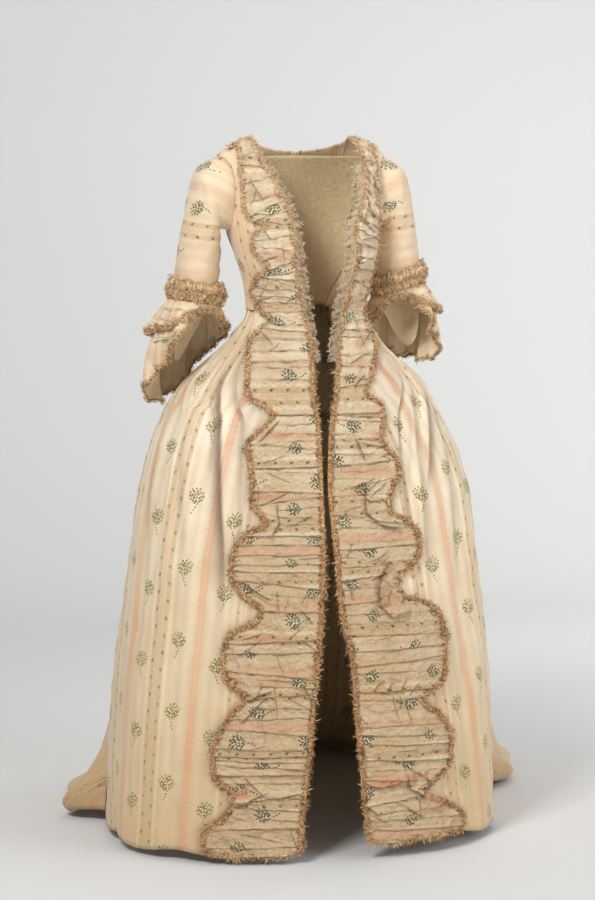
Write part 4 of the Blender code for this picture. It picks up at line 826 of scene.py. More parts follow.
def skirtFront(side, name):
    height = np.concatenate([np.linspace(waist - 0.0003, -0.60, 56)[:-1],
                             np.linspace(-0.60, hem, skirt["rows"] - 55)])
    lines = inColumns(skirtLines, 1000, 1000, 1000, 1, 1, 1)
    fine, fineLines = between(lines, skirt["spansEach"])
    below = np.clip((waist - height) / (waist - hip), 0, 1)[:, None]
    low = (np.clip((hip - height) / (hip - hem), 0, 1) ** 0.8)[:, None]
    share = fineLines[0] + (fineLines[1] - fineLines[0]) * below + (fineLines[2] - fineLines[1]) * low
    tuck = fineLines[3] + (fineLines[4] - fineLines[3]) * below + (fineLines[5] - fineLines[4]) * low
    tall = height[:, None] + np.zeros_like(share)
    lift = -tuck * 0.001
    scales = (1000, 1000, -1000, -1000, 1000, 1)
    for top, foot, topHeight, footHeight, width, depth in inColumns(skirtFolds[side], *scales).T:
        along = np.clip((topHeight - tall) / (topHeight - footHeight), 0, 1)
        offset = (share - (top + (foot - top) * along + 0.006 * np.sin(along * 7 + top * 50))) / width
        strength = ease(along, 0.0, 0.16) * (1 - ease(along, 0.80, 1.0) * (0.9 if footHeight > -1.3 else 0.0))
        lift = lift - depth * 0.00135 * strength * np.exp(-offset * offset)
    opening = mirrored(side, turnAt(side, robingEdge(side, height, 1), height))
    turn = opening[:, None] + (-seamAngle(height) - opening)[:, None] * share
    lift = lift + np.minimum(ripple(turn * 0.35, tall, 31 + side, 0.075) * 0.0016 - 0.0008, 0)
    lift = lift + np.minimum(ripple(turn * 0.35, tall * 0.5, 41 + side, 0.020) * 0.0005 - 0.0002, 0)
    # painted shade inside the sharp pleats near the waist
    dark = ease(tuck, 3.0, 9.0) * (1 - ease(-tall, 0.62, 1.0)) * 0.45
    for top, foot, topHeight, footHeight, width, strength in inColumns(skirtShadows[side], *scales).T:
        along = np.clip((topHeight - tall) / (topHeight - footHeight), 0, 1)
        offset = (share - (top + (foot - top) * along)) / width
        sharp = np.where(offset < 0, np.exp(-(offset / 0.18) ** 2), np.exp(-offset * offset))
        dark = np.maximum(dark, strength * ease(along, 0.0, 0.2) * (1 - ease(along, 0.55, 1.0)) * sharp)
    # painted shade over the flap between the robing and the fold, about the hips
    flap = (1 - ease(fine, 3.95, 4.25)) * ease(-tall, 0.34, 0.42) * (1 - ease(-tall, 0.62, 0.86))
    dark = np.maximum(dark, 0.30 * flap)
    stripeTurn = np.radians(curve(*byHeight(stripeLine[side], 1), height))
    turn = mirrored(side, turn)
    grid = lifted(turn, tall, lift)
    grid[..., 2] += (0.0045 * np.sin(share * 21 + side) - 0.003) * ease(-tall, 1.25, 1.35)
    if side > 0:
        grid[..., 2] += 0.012 * (1 - ease(share, 0.34, 0.60)) * ease(-tall, 1.22, 1.35)
    # painted shadow of the robing and its fringe on the skirt just beside them
    beside = np.abs(grid[..., 0]) - robingEdge(side, tall, 2)
    dark = np.maximum(dark, 0.42 * np.exp(-(np.maximum(beside, 0) / 0.010) ** 2))
    lengths = clothLengths(grid)
    across = np.abs(lengths[..., 0])
    # cloth width is counted from the salmon stripe
    angle = mirrored(side, turn)
    for i in range(len(height)):
        order = np.argsort(-angle[i])
        across[i] -= np.interp(-stripeTurn[i], -angle[i][order], across[i][order])
    uv = np.stack([across, np.zeros_like(across) + lengths[:, 20:21, 1]], axis=-1)
    uv[..., 1] += 0.034 if side < 0 else 0.0
    grid, uv, dark = [oriented(-side, values) for values in (grid, uv, dark)]
    return makeSheet(name, grid, uv, skirtSilk, wall=skirt["wall"], shade=dark)


# the sack back and its train
sack = {"rows": 122, "perLine": 6, "wall": 0.0011, "base": 0.0032, "trainShare": 0.55, "trainSweep": 0.060,
        "square": {-1: 1.8, 1: 2.2}, "neckDip": 0.030, "neckFlat": 0.35, "edgeGap": 0.008,
        "shoulder": (0.166, -0.035)}
# each line: thousandths of the way from the side edge to the centre back at the neck and hem, then how
# far it stands out in millimetres at neck, waist and hem
sackLines = (
    (0, 0, 0, 0, 0), (80, 30, 0, 0, 6), (140, 70, 0, 1, 18), (210, 110, 0, 1, 20), (270, 140, 0, 2, 10),
    (340, 170, 0, 1, -6), (418, 205, 0, 1, -16), (426, 240, 3.6, 12, -4), (440, 285, 4, 15, 18),
    (490, 340, 4, 16, 30), (512, 380, 4.2, 18, 22), (518, 410, 8.4, 25, 8), (540, 450, 9.2, 28, -10),
    (620, 500, 9.5, 29, -19), (700, 560, 9.6, 30, 4), (800, 630, 9.5, 31, 26), (880, 690, 9.3, 30, 25),
    (936, 750, 9, 27, 14), (946, 800, 5, 14, 0), (960, 850, 3.2, 6, -15), (985, 930, 0, -3, -22),
    (1000, 1000, 0, -5, -14),
)
# levels: tenths of a mm down to the side edge and the centre back, depth of the plan in mm, hundredths
# of the way from the form to the free fall, mm that the right and the left side swell out
sackLevels = (
    (593, 593, 70, 0, 0, 0), (902, 902, 83, 0, 0, 0), (1258, 1258, 99, 0, 0, 0), (1567, 1567, 109, 0, 0, 0),
    (1820, 1820, 116, 0, 0, 0), (2250, 2250, 132, 35, 2, 4), (2800, 2800, 151, 75, 6, 11),
    (3350, 3350, 172, 100, 8, 15), (3850, 3850, 192, 100, 6, 14), (4300, 4300, 211, 100, 3, 12),
    (4810, 4810, 232, 100, 0, 12), (5420, 5420, 258, 100, 0, 15), (6200, 6220, 290, 100, -6, 21),
    (7000, 7060, 322, 100, -12, 30), (8120, 8250, 368, 100, -18, 48), (9230, 9450, 416, 100, -20, 78),
    (10530, 10850, 480, 100, -16, 125), (11800, 12250, 556, 100, 4, 175), (12700, 13250, 655, 100, 30, 225),
    (13440, 13660, 790, 100, 62, 265),
)


def sackEdgeTurn(height):
    low = armhole["height"] - armhole["half"]
    return np.where(height > low, armholeTurn(height) + sack["edgeGap"], seamAngle(height) - 0.03)


def spreadTurns(start, height, share):
    half, depth, power = body("half", height), body("back", height), body("square", height)
    first = np.arctan((np.tan(start) * half / depth) ** (power / 2))
    angle = first + (math.pi / 2 - first) * share
    return np.arctan2(depth * np.sin(angle) ** (2 / power), half * np.cos(angle) ** (2 / power))


def sackHalf(side):
    lines = inColumns(sackLines, 1000, 1000, 1, 1, 1)
    _, (neck, hemShare, neckRise, waistRise, hemRise) = between(lines, sack["perLine"])
    half = float(body("half", np.array(0.0)))
    reach = sack["shoulder"][0] * (1 - neck)
    dip = sack["neckDip"] * np.sqrt(np.clip(1 - (reach / half) ** 2, 0, 1))
    slope = sack["shoulder"][1] * (reach - half) / (sack["shoulder"][0] - half)
    neckHeight = np.minimum(np.where(reach < half, -dip, slope), -0.0012)
    first = sackLevels[0][0] / -10000
    firstTurn = spreadTurns(sackEdgeTurn(np.array(first)), np.array(first), neck)
    firstReach = bodyPoint(-firstTurn, first + 0 * firstTurn)[:, 0] - body("centre", np.array(first))
    rows = []
    for step in np.linspace(0, 1, 9)[:-1]:
        height = neckHeight + (first - neckHeight) * step
        wide = reach + (firstReach - reach) * step
        share = np.clip(wide / body("half", height), 0, 0.995)
        power = body("square", height)
        turn = np.arctan2(body("back", height) * (1 - share ** power) ** (1 / power), wide)
        rise = neckRise * 0.001 * (sack["neckFlat"] + (1 - sack["neckFlat"]) * step)
        rows.append(lifted(mirrored(side, -turn), height, sack["base"] + rise))
    levelSteps = np.arange(len(sackLevels))
    fineLevels = np.linspace(0, len(levelSteps) - 1, sack["rows"])
    levels = inColumns(sackLevels, -10000, -10000, 1000, 100, 1000, 1000)
    levels = np.array([curve(levelSteps, column, fineLevels) for column in levels]).T
    for edge, centre, depth, free, right, left in levels:
        fall = np.clip((edge - first) / (hem - first), 0, 1)
        share = neck + (hemShare - neck) * fall ** 0.7
        toWaist = np.clip(edge / waist, 0, 1)
        toHem = np.clip((waist - edge) / (waist - hem), 0, 1)
        rise = neckRise + (waistRise - neckRise) * toWaist ** 2
        rise = (rise + (hemRise - waistRise) * toHem ** 1.6) * 0.001
        start = sackEdgeTurn(np.array(edge))
        turn = mirrored(side, -spreadTurns(start, np.array(edge), share))
        tall = np.full_like(share, edge)
        fitted = lifted(turn, tall, sack["base"] + rise)
        corner = lifted(mirrored(side, -start), np.array(edge), sack["base"])
        quarter = share * math.pi / 2
        lobe = np.sin(np.clip(share / sack["trainShare"], 0, 1) * math.pi) ** 1.2 * (right if side < 0 else left)
        middle = sack["trainSweep"] * toHem ** 2
        wide = np.cos(quarter) ** (2 / sack["square"][side])
        deep = np.sin(quarter) ** (2 / sack["square"][side])
        settle = np.clip(share / 0.16, 0, 1)
        fallen = np.stack([middle + (corner[0] - middle) * wide, corner[1] + (depth - corner[1]) * deep,
                           edge + (centre - edge) * settle * settle * (3 - 2 * settle)], axis=-1)
        away = np.stack([side * wide ** 0.5, deep ** 1.5, np.zeros_like(share)], axis=-1)
        small = ripple(share * 0.9, edge * 0.25 + 0 * share, 61 + side, 0.075)
        small = 0.0024 * toHem * ease(share, 0.03, 0.12) * small
        near = (0.034 if side < 0 else 0.022) * np.exp(-((share - 0.075) / 0.042) ** 2) * ease(-edge, 1.12, 1.33)
        near = near - (0.022 if side < 0 else 0.014) * np.exp(-((share - 0.09) / 0.055) ** 2) * ease(
            -edge, 0.86, 1.08) * (1 - ease(-edge, 1.19, 1.30))
        fallen = fallen + unit(away) * (rise + lobe + small + near)[:, None]
        fallen[0] = corner
        roll = np.clip((-1.255 - edge) / 0.089, 0, 1)
        puffed = 0.017 * math.sin(math.pi * roll ** 1.4) - 0.010 * roll ** 3
        fallen = fallen + unit(away) * (puffed * ease(share, 0.02, 0.10))[:, None]
        mixed = fitted * (1 - free) + fallen * free
        mixed[:, 2] = np.maximum(mixed[:, 2] - 0.0040 * roll ** 2 * ease(share, 0.04, 0.12), floorHeight - 0.0002)
        rows.append(mixed)
    return np.array(rows)


def sackBack(name):
    right, left = sackHalf(-1), sackHalf(1)
    middle = (right[:, -1:] + left[:, -1:]) / 2
    grid = np.concatenate([right[:, :-1], middle, left[:, :-1][:, ::-1]], axis=1)
    uv = clothLengths(grid)
    uv[..., 0] -= uv[:, grid.shape[1] // 2, 0][:, None] - 0.085
    uv[..., 1] = uv[:, grid.shape[1] // 2, 1][:, None] * 0.35 + uv[..., 1] * 0.65
    # painted shade where the train is turned under at the sides
    aside = np.minimum(np.arange(grid.shape[1]), np.arange(grid.shape[1])[::-1]) / (grid.shape[1] / 2)
    backShade = 0.24 * ease(-grid[..., 2], 1.16, 1.35) * (1 - ease(aside, 0.16, 0.36))[None, :]
    # shade beside the edges of the box pleats, going out below the waist
    half = np.linspace(0, len(sackLines) - 1, right.shape[1])
    half = np.concatenate([half, half[:-1][::-1]])
    edges = sum(np.exp(-((half - place) / 0.40) ** 2) for place in (6.0, 10.0, 18.1, 20.0))
    backShade = np.maximum(backShade, 0.62 * np.clip(edges, 0, 1)[None, :] * (1 - ease(-grid[..., 2], 0.55, 1.15)))
    return makeSheet(name, grid, uv, backSilk, wall=sack["wall"], shade=backShade)


# sleeves, cuff ruches and flounces
# rings of the sleeve: height, how far out and back its centre is, half width, half depth, rise to the outer side
sleeveRings = (
    (-0.1180, 0.1845, 0.000, 0.0215, 0.0560, 0.0580), (-0.1500, 0.1910, 0.002, 0.0315, 0.0560, 0.0400),
    (-0.1800, 0.1960, 0.007, 0.0365, 0.0550, 0.0180), (-0.2150, 0.1985, 0.012, 0.0415, 0.0530, 0.0050),
    (-0.2500, 0.2015, 0.016, 0.0440, 0.0515, 0.0030), (-0.3200, 0.2060, 0.020, 0.0440, 0.0510, 0.0030),
)
sleeveTable = np.array(sorted(sleeveRings)).T
elbowRise = {-1: 0.0, 1: 0.022}
sleeves = {"sides": 84, "perRing": 8, "wall": 0.0009, "overlap": 0.0010}
cuff = {"sides": 260, "rows": 18, "inset": 0.0006, "top": -0.281, "bottom": -0.3185, "puff": 0.0085, "wall": 0.0008}
flounceGrid = {"sides": 168, "rows": 24, "wall": 0.0008}
flounces = {
    "upper": {"inset": 0.0035, "short": 0.050, "long": {-1: 0.018, 1: 0.012}, "mouth": 0.012,
              "flare": {-1: 0.040, 1: 0.036}, "curl": 1.4, "wave": 0.0045, "scallops": 17},
    "lower": {"inset": 0.0005, "short": 0.054, "long": {-1: 0.150, 1: 0.104}, "mouth": 0.006,
              "flare": {-1: 0.046, 1: 0.036}, "curl": 1.9, "wave": 0.0060, "scallops": 23},
}
armTilt = {-1: 0.005, 1: 0.011}         # how far the outer side of the cuff stands above the inner
flounceTop, flounceFront, flounceTurn, tongueDrop = -0.3200, 105.0, -40.0, 0.115


def armRing(side, height, inset, ring):
    value = [np.interp(height, sleeveTable[0], column) for column in sleeveTable]
    x = side * (value[1] + (value[3] + inset) * np.cos(ring))
    y = value[2] - (value[4] + inset) * np.sin(ring)
    return np.stack([x, y, height + value[5] * np.cos(ring)], axis=-1)


def hang(ring, sharpness):
    return ((1 + np.cos(ring - math.radians(flounceTurn))) / 2) ** sharpness


def sleeve(side, name):
    sides, perRing = sleeves["sides"], sleeves["perRing"]
    ring = np.arange(sides) * 2 * math.pi / sides
    share = np.cos(ring)
    height = armhole["height"] + (armhole["half"] + sleeves["overlap"]) * share
    turn = (armhole["reach"] + 0.006) * np.sin(ring)
    coarse = [lifted(mirrored(side, turn), height, -0.0016)]
    for number, values in enumerate(sleeveRings):
        points = armRing(side, values[0], 0.0, ring)
        points[:, 2] += elbowRise[side] * number / 5
        coarse.append(points)
    back = hang(ring, 2.2)
    for step in (0.5, 1.0):
        drop = armRing(side, sleeveRings[-1][0], -0.003 * step, ring)
        drop[:, 2] += elbowRise[side] - 0.004 * step - tongueDrop * back * step
        coarse.append(drop)
    coarse = np.array(coarse)
    steps = np.arange(len(coarse))
    fine = np.linspace(0, len(steps) - 1, (len(steps) - 1) * perRing + 1)
    grid = np.empty((len(fine), sides, 3))
    for column in range(sides):
        for axis in range(3):
            grid[:, column, axis] = curve(steps, coarse[:, column, axis], fine)
    normals = gridNormals(oriented(side, grid), ring=True)
    normals = oriented(side, normals)
    r, f = np.meshgrid(ring, fine / len(steps))
    # wrinkles at the crook of the arm and a soft gather over the shoulder
    crook = np.exp(-((f - 0.60) / 0.10) ** 2) * np.clip(np.cos(r - math.radians(150)), 0, 1)
    wrinkles = -0.0016 * crook * (1 + np.sin(f * 110 + np.sin(r * 2) * 2.2))
    gather = -0.0009 * np.exp(-((f - 0.03) / 0.06) ** 2) * (1 + np.sin(r * 26)) * np.clip(np.cos(r), 0, 1)
    soft = np.minimum(ripple(r * 0.05, f * 0.3, 71 + side, 0.045) * 0.0014 - 0.0006, 0)
    grid = grid + normals * (wrinkles + gather + soft)[..., None]
    grid = oriented(side, grid)
    uv = clothLengths(grid, ring=True)
    # cloth lies the other way round here: stripes ring the arm, counted up from the cuff
    cuffRow = int(np.argmin(np.abs(fine - 5.5)))
    heights = np.concatenate([grid[..., 2], grid[:, :1, 2]], axis=1)
    level = heights - elbowRise[side] * ease(-heights, 0.10, 0.30) + 0.267
    level = level * 0.2 + 0.8 * (uv[..., 1] - uv[cuffRow:cuffRow + 1, :, 1] - 0.024)
    front = sides // 4 if side > 0 else sides - 1 - sides // 4
    uv = np.stack([level, uv[..., 0] - uv[:, front:front + 1, 0] + (0.130 if side < 0 else 0.140)], axis=-1)
    return makeSheet(name, grid, uv, sleeveSilk, wall=sleeves["wall"], ring=True, inside=plainSilk)


def cuffRuche(side, name):
    # Dense crinkled gathers over the head of the flounces.
    sides = cuff["sides"]
    ring = np.arange(sides) * 2 * math.pi / sides
    rows = []
    random = np.random.default_rng(81 + side)
    pinch = np.interp(ring, np.linspace(0, 2 * math.pi, 68), np.append(random.uniform(0.2, 1.5, 67), 0.8))
    lean = np.interp(ring, np.linspace(0, 2 * math.pi, 42), np.append(random.normal(0, 1.6, 41), 0.0))
    phase = 34 * ring + 2.6 * np.sin(5 * ring) + 1.9 * np.sin(11 * ring + 1)
    ragged = np.interp(ring, np.linspace(0, 2 * math.pi, 30), np.append(random.uniform(-1, 1, 29), 0.0))
    ragged[-9:] = np.linspace(ragged[-9], ragged[0], 9)
    for share in np.linspace(0, 1, cuff["rows"]):
        puff = cuff["puff"] * (abs(math.sin(math.pi * share * 2)) * 0.75 + 0.25 * math.sin(math.pi * share))
        puff = puff * (1 + 0.30 * np.sin(7 * ring + 4 * share))
        crinkle = 0.0026 * pinch * np.sin(phase + lean * (share - 0.5) * 3 + 1.6 * math.sin(share * 7))
        crinkle = crinkle + 0.0014 * np.sin(83 * ring + 9 * share + lean) * math.sin(math.pi * share)
        height = cuff["top"] + (cuff["bottom"] - cuff["top"]) * share
        inset = cuff["inset"] + 0.0022 + puff + crinkle * (0.6 + 0.4 * math.sin(math.pi * share))
        points = armRing(side, height, inset, ring)
        points[:, 2] += elbowRise[side] + 0.0030 * pinch * np.cos(phase * 0.5 + lean) * (1 if share > 0.5 else -1)
        points[:, 2] += (armTilt[side] * np.cos(ring) + 0.0016 * np.sin(9 * ring + side)
                         + 0.0034 * ragged * (share - 0.3))
        rows.append(points)
    grid = oriented(side, np.array(rows))
    uv = clothLengths(grid, ring=True)
    uv = np.stack([uv[..., 1] * 1.6 + 0.09, uv[..., 0]], axis=-1)
    # painted shade in the hollows between the gathers
    centre = grid.mean(axis=1, keepdims=True)
    radius = np.linalg.norm((grid - centre)[..., :2], axis=-1)
    around = sum(np.roll(radius, k, 1) for k in (-5, -4, -3, -2, 2, 3, 4, 5)) / 8
    dark = np.clip((around - radius) / 0.0018, 0, 1) * 0.7
    piece = makeSheet(name, grid, uv, cuffSilk, wall=cuff["wall"], ring=True, shade=dark)
    edgings = []
    for number, row in enumerate((1, 6, 11, 16)):
        edge = np.concatenate([grid[row], grid[row][:1]])
        middle = grid[row].mean(axis=0)
        radial = unit((edge - middle) * np.array([1, 1, 0]))
        edgings.append(fringeAlong(
            "cuff_edging_" + "RL"[side > 0] + str(number), edge - radial * 0.001, radial,
            (-1.0, -1.0, 1.0, 1.0)[number], 251 + side + 10 * number, reach=(0.75, 0.8, 0.9, 1.1)[number],
            strands=3, spread=0.8, tone=0.14))
    return piece, edgings


def flounceRow(side, sizes, ring, share):
    front = np.clip(np.cos(ring - math.radians(flounceFront)), 0, 1) ** 2
    length = sizes["short"] * (1 - 0.84 * front) + sizes["long"][side] * hang(ring, 2.2)
    scallops = 0.045 * share * np.abs(np.sin(ring * sizes["scallops"] / 2))
    length = length * (1 - scallops + 0.05 * np.cos(6 * ring + 2.0))
    flare = sizes["mouth"] + (sizes["flare"][side] - sizes["mouth"]) * hang(ring, 0.9)
    wave = np.cos(7 * ring + 0.4) + 0.60 * np.cos(12 * ring + 1.9 + 0.6 * share) + 0.35 * np.cos(19 * ring + 0.7)
    loose = 0.30 + 0.70 * hang(ring, 1.0)
    spread = flare * math.sin(sizes["curl"] * share) + 2.2 * loose * sizes["wave"] * share * wave
    spread = spread + 0.0024 * np.sin(23 * ring + 1.5 * np.sin(3 * ring)) * (0.35 + share) * (1.2 - share)
    spread = spread + 0.0011 * np.sin(47 * ring + 2 * share) * (1 - share)
    spread = spread * np.clip(length / 0.045, 0.2, 1.0)
    points = armRing(side, flounceTop, sizes["inset"] + 0.0015 + spread, ring)
    points[:, 2] += elbowRise[side] + armTilt[side] * np.cos(ring) - length * share
    return points


def flounce(side, name, sizes):
    ring = np.arange(flounceGrid["sides"]) * 2 * math.pi / flounceGrid["sides"]
    shares = np.linspace(0, 1, flounceGrid["rows"])
    grid = oriented(side, np.array([flounceRow(side, sizes, ring, share) for share in shares]))
    # painted shade in the hollows of the waves
    radius = np.linalg.norm((grid - grid.mean(axis=1, keepdims=True))[..., :2], axis=-1)
    around = sum(np.roll(radius, k, 1) for k in (-12, -8, -4, 4, 8, 12)) / 6
    dark = np.clip((around - radius) / 0.006, 0, 1) * 0.20
    uv = clothLengths(grid, ring=True)
    uv = np.stack([uv[..., 1] + 0.12, uv[..., 0] * 1.1], axis=-1)
    return makeSheet(name, grid, uv, sleeveSilk, wall=flounceGrid["wall"], ring=True, shade=dark,
                     inside=plainSilk), grid


# the ruched robings
robing = {"base": 0.0013, "puff": 0.0066, "hidden": 0.0065, "most": 0.0185, "step": 0.0013}


def robingSheet(side, name, rows, tucks, pleats, patches, columns, shift, foot):
    rows, tucks = byHeight(rows, 1000, 1000), tuckRows(tucks)
    top = rows[0][-1]
    count = int((top - rows[0][0]) / robing["step"])
    height = np.linspace(top, rows[0][0], count)[:, None]
    inner, outer = curve(rows[0], rows[1], height), curve(rows[0], rows[2], height)
    share = np.linspace(0, 1, columns)[None, :]
    frill = 0.0018 * np.sin(height * 420 + 2 * np.sin(height * 60)) + 0.0014 * np.sin(height * 780 + 1)
    outer = outer + frill
    reach = inner + (outer - inner) * share
    tall = height + np.zeros_like(reach)
    lift, dark = tuckLift(tucks, share + np.zeros_like(tall), tall)
    pulled, pulledDark = pleatLift(pleats, reach, tall)
    dark = np.maximum(dark, pulledDark)
    puff = robing["puff"] * (0.70 + 0.45 * ripple(share * 0.12, tall, 91 + side, 0.045))
    nearEdge = np.minimum(ease(share, 0, 0.10), 1 - ease(share, 0.88, 1.0))
    gathers = 0.0013 * np.sin(tall * 560 + 3 * np.sin(tall * 47)) * (1 - nearEdge)
    # crisp taffeta creases: sharp ridges between flat places
    crisp = 0.0024 * (0.35 - np.abs(ripple(reach * 0.7, tall * 1.5, 101 + side, 0.040)))
    crisp = crisp + 0.0016 * (0.35 - np.abs(ripple(reach * 0.9, tall * 1.8, 111 + side, 0.018)))
    total = robing["base"] + 0.0003 + puff * (0.15 + 0.85 * nearEdge) + lift + pulled + gathers + crisp
    total = np.maximum(total, robing["base"] + 0.0012 * nearEdge)
    if foot:
        # the last tuck laps over the head of the skirt robing, with painted shade under it
        total = total + 0.0042 * (1 - ease(tall - rows[0][0], 0.0, 0.016)) * nearEdge
        dark = np.maximum(dark, 0.9 * (1 - ease(tall - rows[0][0], 0.0004, 0.0022)))
    total = np.minimum(total, robing["most"])
    turn = turnAt(side, reach, tall)
    # width of cloth taken up in the tucks moves the pattern on at each of them
    counted = -tall
    for first, last, start, stop, depth in tucks:
        line = first + (last - first) * share
        hidden = robing["hidden"] * depth * max(min(stop, 1) - max(start, 0), 0.2)
        counted = counted + hidden * ease(line - tall, -0.0008, 0.0008)
    blush = np.zeros_like(tall)
    for high, out, wideReach, wideTall, strength in inColumns(patches, -1000, 1000, 1, 1, 1).T:
        far = ((reach - out) / (wideReach * 0.001)) ** 2 + ((tall - high) / (wideTall * 0.001)) ** 2
        blush = np.maximum(blush, strength * np.exp(-far * 1.2))
    uv = np.stack([counted + shift, reach * 1.08 + 0.012 * np.sin(tall * 9)], axis=-1)
    turn, tall, total, uv, dark, blush = [oriented(-side, values) for values in (turn, tall, total, uv, dark, blush)]
    grid = lifted(turn, tall - 0.0012 * dark, total)
    return makeSheet(name, grid, uv, trimSilk, wall=0, shade=dark, blush=blush)


# fly fringe and net
fringe = {"every": 0.0020, "length": 0.0115, "thick": 0.00058}


def fringeAlong(name, path, normals, outward, seed, reach=1.0, strands=6, spread=0.5, heading=1.0, length=None,
                material=None, tone=0.0, stands=False):
    # Floss strands knotted along a narrow heading, flat and curled, each its own way. A piece that stands
    # for the part's piece of the same name replaces it.
    random = np.random.default_rng(seed)
    path, normals = np.asarray(path, float), unit(np.asarray(normals, float))
    steps = np.linalg.norm(np.diff(path, axis=0), axis=-1)
    run = np.concatenate([[0], np.cumsum(steps)])
    count = max(int(run[-1] / fringe["every"]), 8)
    at = np.linspace(0, run[-1], count)
    point = np.stack([np.interp(at, run, path[:, k]) for k in range(3)], axis=-1)
    normal = unit(np.stack([np.interp(at, run, normals[:, k]) for k in range(3)], axis=-1))
    along = unit(np.gradient(point, axis=0))
    out = unit(np.cross(along, normal)) * outward
    reach = np.interp(at, run, np.broadcast_to(reach, len(path)))

    # heading: a crinkled narrow ribbon, three points across
    wobble = np.sin(at * 900) * 0.0006 + random.normal(0, 0.0004, count)
    across = np.array([-0.0035, 0.0002, 0.0040]) * heading
    rise = np.array([0.0002, 0.0026, 0.0004]) * heading
    ribbon = (point[:, None] + out[:, None] * (across[None, :, None] + wobble[:, None, None])
              + normal[:, None] * (rise[None, :, None] * (1 + 0.5 * np.sin(at * 1300))[:, None, None]))
    i, j = np.arange(count - 1)[:, None], np.arange(2)[None, :]
    quads = np.stack([i * 3 + j, (i + 1) * 3 + j, (i + 1) * 3 + j + 1, i * 3 + j + 1], axis=-1).reshape(-1, 4)
    ribbonTones = np.repeat(random.uniform(0.12, 0.75, count), 3)

    # strands: ribbons of four cross lines, eight points each
    number = count * strands
    index = np.repeat(np.arange(count), strands)
    root = point[index] + out[index] * random.uniform(-0.0090, 0.0030, number)[:, None] * heading
    side = random.normal(0, spread, number)
    up = random.uniform(-0.1, 1.1, number)
    direction = unit(out[index] + along[index] * side[:, None] + normal[index] * up[:, None])
    size = (length or fringe["length"]) * reach[index] * random.uniform(0.35, 1.05, number)
    size = size * (1 + 0.35 * np.sin(at[index] * 330 + 2 * np.sin(at[index] * 70)))
    curl = random.normal(0, 0.0022, (number, 2))
    t = np.linspace(0, 1, 4)
    spine = (root[:, None] + direction[:, None] * (size[:, None] * t)[..., None]
             + along[index][:, None] * (curl[:, :1] * np.sin(t * 4.2))[..., None]
             + normal[index][:, None] * ((curl[:, 1:] + 0.0010) * np.sin(t * 3.4))[..., None])
    crossA = unit(np.cross(direction, normal[index] + 0.01))
    crossB = np.cross(direction, crossA)
    twist = random.uniform(0, math.pi, number)[:, None] + random.normal(0, 1.3, number)[:, None] * t[None, :]
    flat = crossA[:, None] * np.cos(twist)[..., None] + crossB[:, None] * np.sin(twist)[..., None]
    width = fringe["thick"] * np.array([0.9, 1.25, 1.1, 0.6])[None, :] * random.uniform(0.7, 1.3, number)[:, None]
    pair = np.stack([spine - flat * width[..., None], spine + flat * width[..., None]], axis=2)
    block = 3 * count + np.arange(number)[:, None] * 8 + np.arange(3)[None, :] * 2
    strips = np.stack([block, block + 1, block + 3, block + 2], axis=-1).reshape(-1, 4)
    strandTones = np.clip(random.beta(2.0, 2.0, number) + tone + 0.15 * np.sin(index * 0.13), 0, 1)

    piece = meshPiece(name, "_floss", np.concatenate([ribbon.reshape(-1, 3), pair.reshape(-1, 3)]),
                      np.concatenate([quads[:, ::-1] if outward < 0 else quads, strips]), material or flyFringe,
                      tone=np.concatenate([ribbonTones, np.repeat(strandTones, 8)]))
    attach(piece, "root")
    if stands:
        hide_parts(name)
    return piece


def bodyPath(side, heights, reaches, lift):
    turn = turnAt(side, reaches, heights)
    path = lifted(turn, heights, lift)
    return path, lifted(turn, heights, 0.01) - lifted(turn, heights, 0.0)


def robingFringe(side, name, rows, seed):
    rows = byHeight(rows, 1000, 1000)
    heights = np.linspace(rows[0][-1] - 0.004, rows[0][0] + 0.001, 400)
    path, normals = bodyPath(side, heights, curve(rows[0], rows[2], heights) - 0.001, 0.0038)
    return fringeAlong(name, path, normals, -side, seed, reach=0.9, spread=1.1, stands=True)


def openingFringe(side, name, seed):
    heights = np.linspace(-0.008, hem + (0.002 if side < 0 else 0.014), 700)
    edge = robingEdge(side, heights, 1)
    gap = robingEdge(1, heights, 1) + robingEdge(-1, heights, 1)
    reach = np.clip((gap / 2 - 0.002) / fringe["length"], 0.35, 1.0)
    path, normals = bodyPath(side, heights, edge + 0.0025, 0.0044)
    return fringeAlong(name, path, normals, side, seed, reach=reach, spread=0.9, stands=True)


def hemFringe(side, name, rows, seed):
    rows = byHeight(rows, 1000, 1000)
    height, inner, outer = rows[0][0], rows[1][0], rows[2][0]
    reaches = np.linspace(inner + 0.002, outer - 0.004, 60)
    path, normals = bodyPath(side, height + 0.0015 + 0.002 * np.sin(reaches * 90), reaches, 0.0036)
    return fringeAlong(name, path, normals, side, seed, spread=0.8)


def shoulderFringe(side, name, seed):
    # over the head of the robing and along the shoulder to the back neck
    reaches = np.linspace(0.146, 0.100, 60)
    ridge = np.interp(reaches, [0.098, 0.132, 0.166], [0.0, -0.012, -0.035])
    path, normals = bodyPath(side, ridge - 0.0040 - 0.0012 * np.sin(reaches * 300), reaches, 0.0040)
    normals = normals + np.array([0.0, 0.0, 0.006])
    return fringeAlong(name, path, normals, side, seed, reach=0.8, spread=0.9)


net = {"rows": 300, "columns": 9, "top": -0.050, "foot": -0.430, "wide": 0.0135}


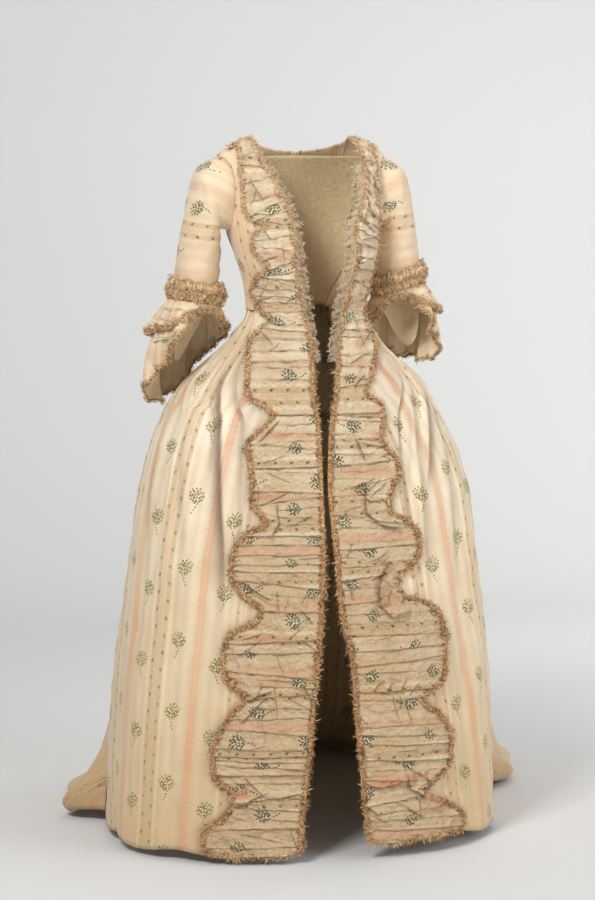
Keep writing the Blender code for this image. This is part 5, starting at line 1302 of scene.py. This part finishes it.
def netFrill(side, name):
    height = np.linspace(net["top"], net["foot"], net["rows"])[:, None]
    edge = robingEdge(side, height, 1)
    share = np.linspace(0, 1, net["columns"])[None, :]
    flutter = 0.0022 * np.sin(height * 310 + 2 * np.sin(height * 41))
    flutter = flutter + 0.0014 * np.sin(height * 760 + 1.7 * np.sin(height * 90))
    flutter = flutter + 0.0020 * ripple(height, 0 * height, 141 + side, 0.013)
    reach = edge + 0.002 + (flutter - net["wide"]) * share
    tall = height + 0.0025 * share * np.sin(height * 230)
    out = -0.0042 - share * 0.0034 * (1 + np.sin(height * 420 + 2.5 * np.sin(height * 55)))
    turn = turnAt(side, reach, tall)
    turn, tall, out = [oriented(side, values) for values in (turn, tall, out)]
    grid = lifted(turn, tall + 0 * turn, out + 0 * turn)
    piece = makeSheet(name, grid, clothLengths(grid), silkNet, wall=0)
    # the frayed edge is the one nearer the middle
    free = min(grid[:, 0], grid[:, -1], key=lambda edge: abs(edge[0][0]))
    frayed = fringeAlong(name + "_frayed", free, np.tile([0.0, -1.0, 0.0], (len(free), 1)), side, 261 + side,
                         strands=3, spread=1.1, heading=0.25, length=0.0075, material=netThread)
    return piece, frayed


# the gown is put together
sheets, trims = {}, {}
for side, letter in ((-1, "R"), (1, "L")):
    upper, lower = (bodiceFootRight, skirtHemRight) if side < 0 else (bodiceFootLeft, skirtHemLeft)
    bodiceTucks, skirtTucks = (bodiceTucksRight, skirtTucksRight) if side < 0 else (bodiceTucksLeft, skirtTucksLeft)
    turned = (pleatsRight, blushRight) if side < 0 else (pleatsLeft, blushLeft)
    for kind, make in (("bodice_front_", bodiceFront), ("skirt_front_", skirtFront), ("sleeve_", sleeve)):
        sheets[kind + letter] = make(side, kind + letter)
    name = "cuff_ruche_" + letter
    sheets[name], trims[name] = cuffRuche(side, name)
    for kind, rows, tucks, across, shift, foot in (
            ("robing_bodice_", upper, bodiceTucks, 42, 0.02, True),
            ("robing_skirt_", lower, skirtTucks, 72, -0.576 if side < 0 else -0.534, False)):
        sheets[kind + letter] = robingSheet(side, kind + letter, rows, tucks, *turned, across, shift, foot)
    trims["robing_bodice_" + letter] = [robingFringe(side, "fringe_bodice_" + letter, upper, 201 + side),
                                        shoulderFringe(side, "fringe_shoulder_" + letter, 281 + side)]
    trims["robing_skirt_" + letter] = [robingFringe(side, "fringe_skirt_" + letter, lower, 211 + side),
                                       hemFringe(side, "fringe_hem_" + letter, lower, 271 + side),
                                       openingFringe(side, "fringe_opening_" + letter, 221 + side)]
    name = "net_frill_" + letter
    sheets[name], frayed = netFrill(side, name)
    trims[name] = [frayed]
    for level, sizes in flounces.items():
        name = "flounce_" + level + "_" + letter
        sheets[name], grid = flounce(side, name, sizes)
        edge = np.concatenate([grid[-1], grid[-1][:1]])
        radial = unit((edge - grid[-1].mean(axis=0)) * np.array([1, 1, 0]))
        trims[name] = [fringeAlong("fringe_" + level + "_" + letter, edge - radial * 0.0008, radial, 1.0, 231 + side,
                                   spread=0.7, stands=True)]
    print("side", letter, "is made")
sheets["back_lining"] = backLining("back_lining")
sheets["sack_back"] = sackBack("sack_back")
print("lining and back are made")
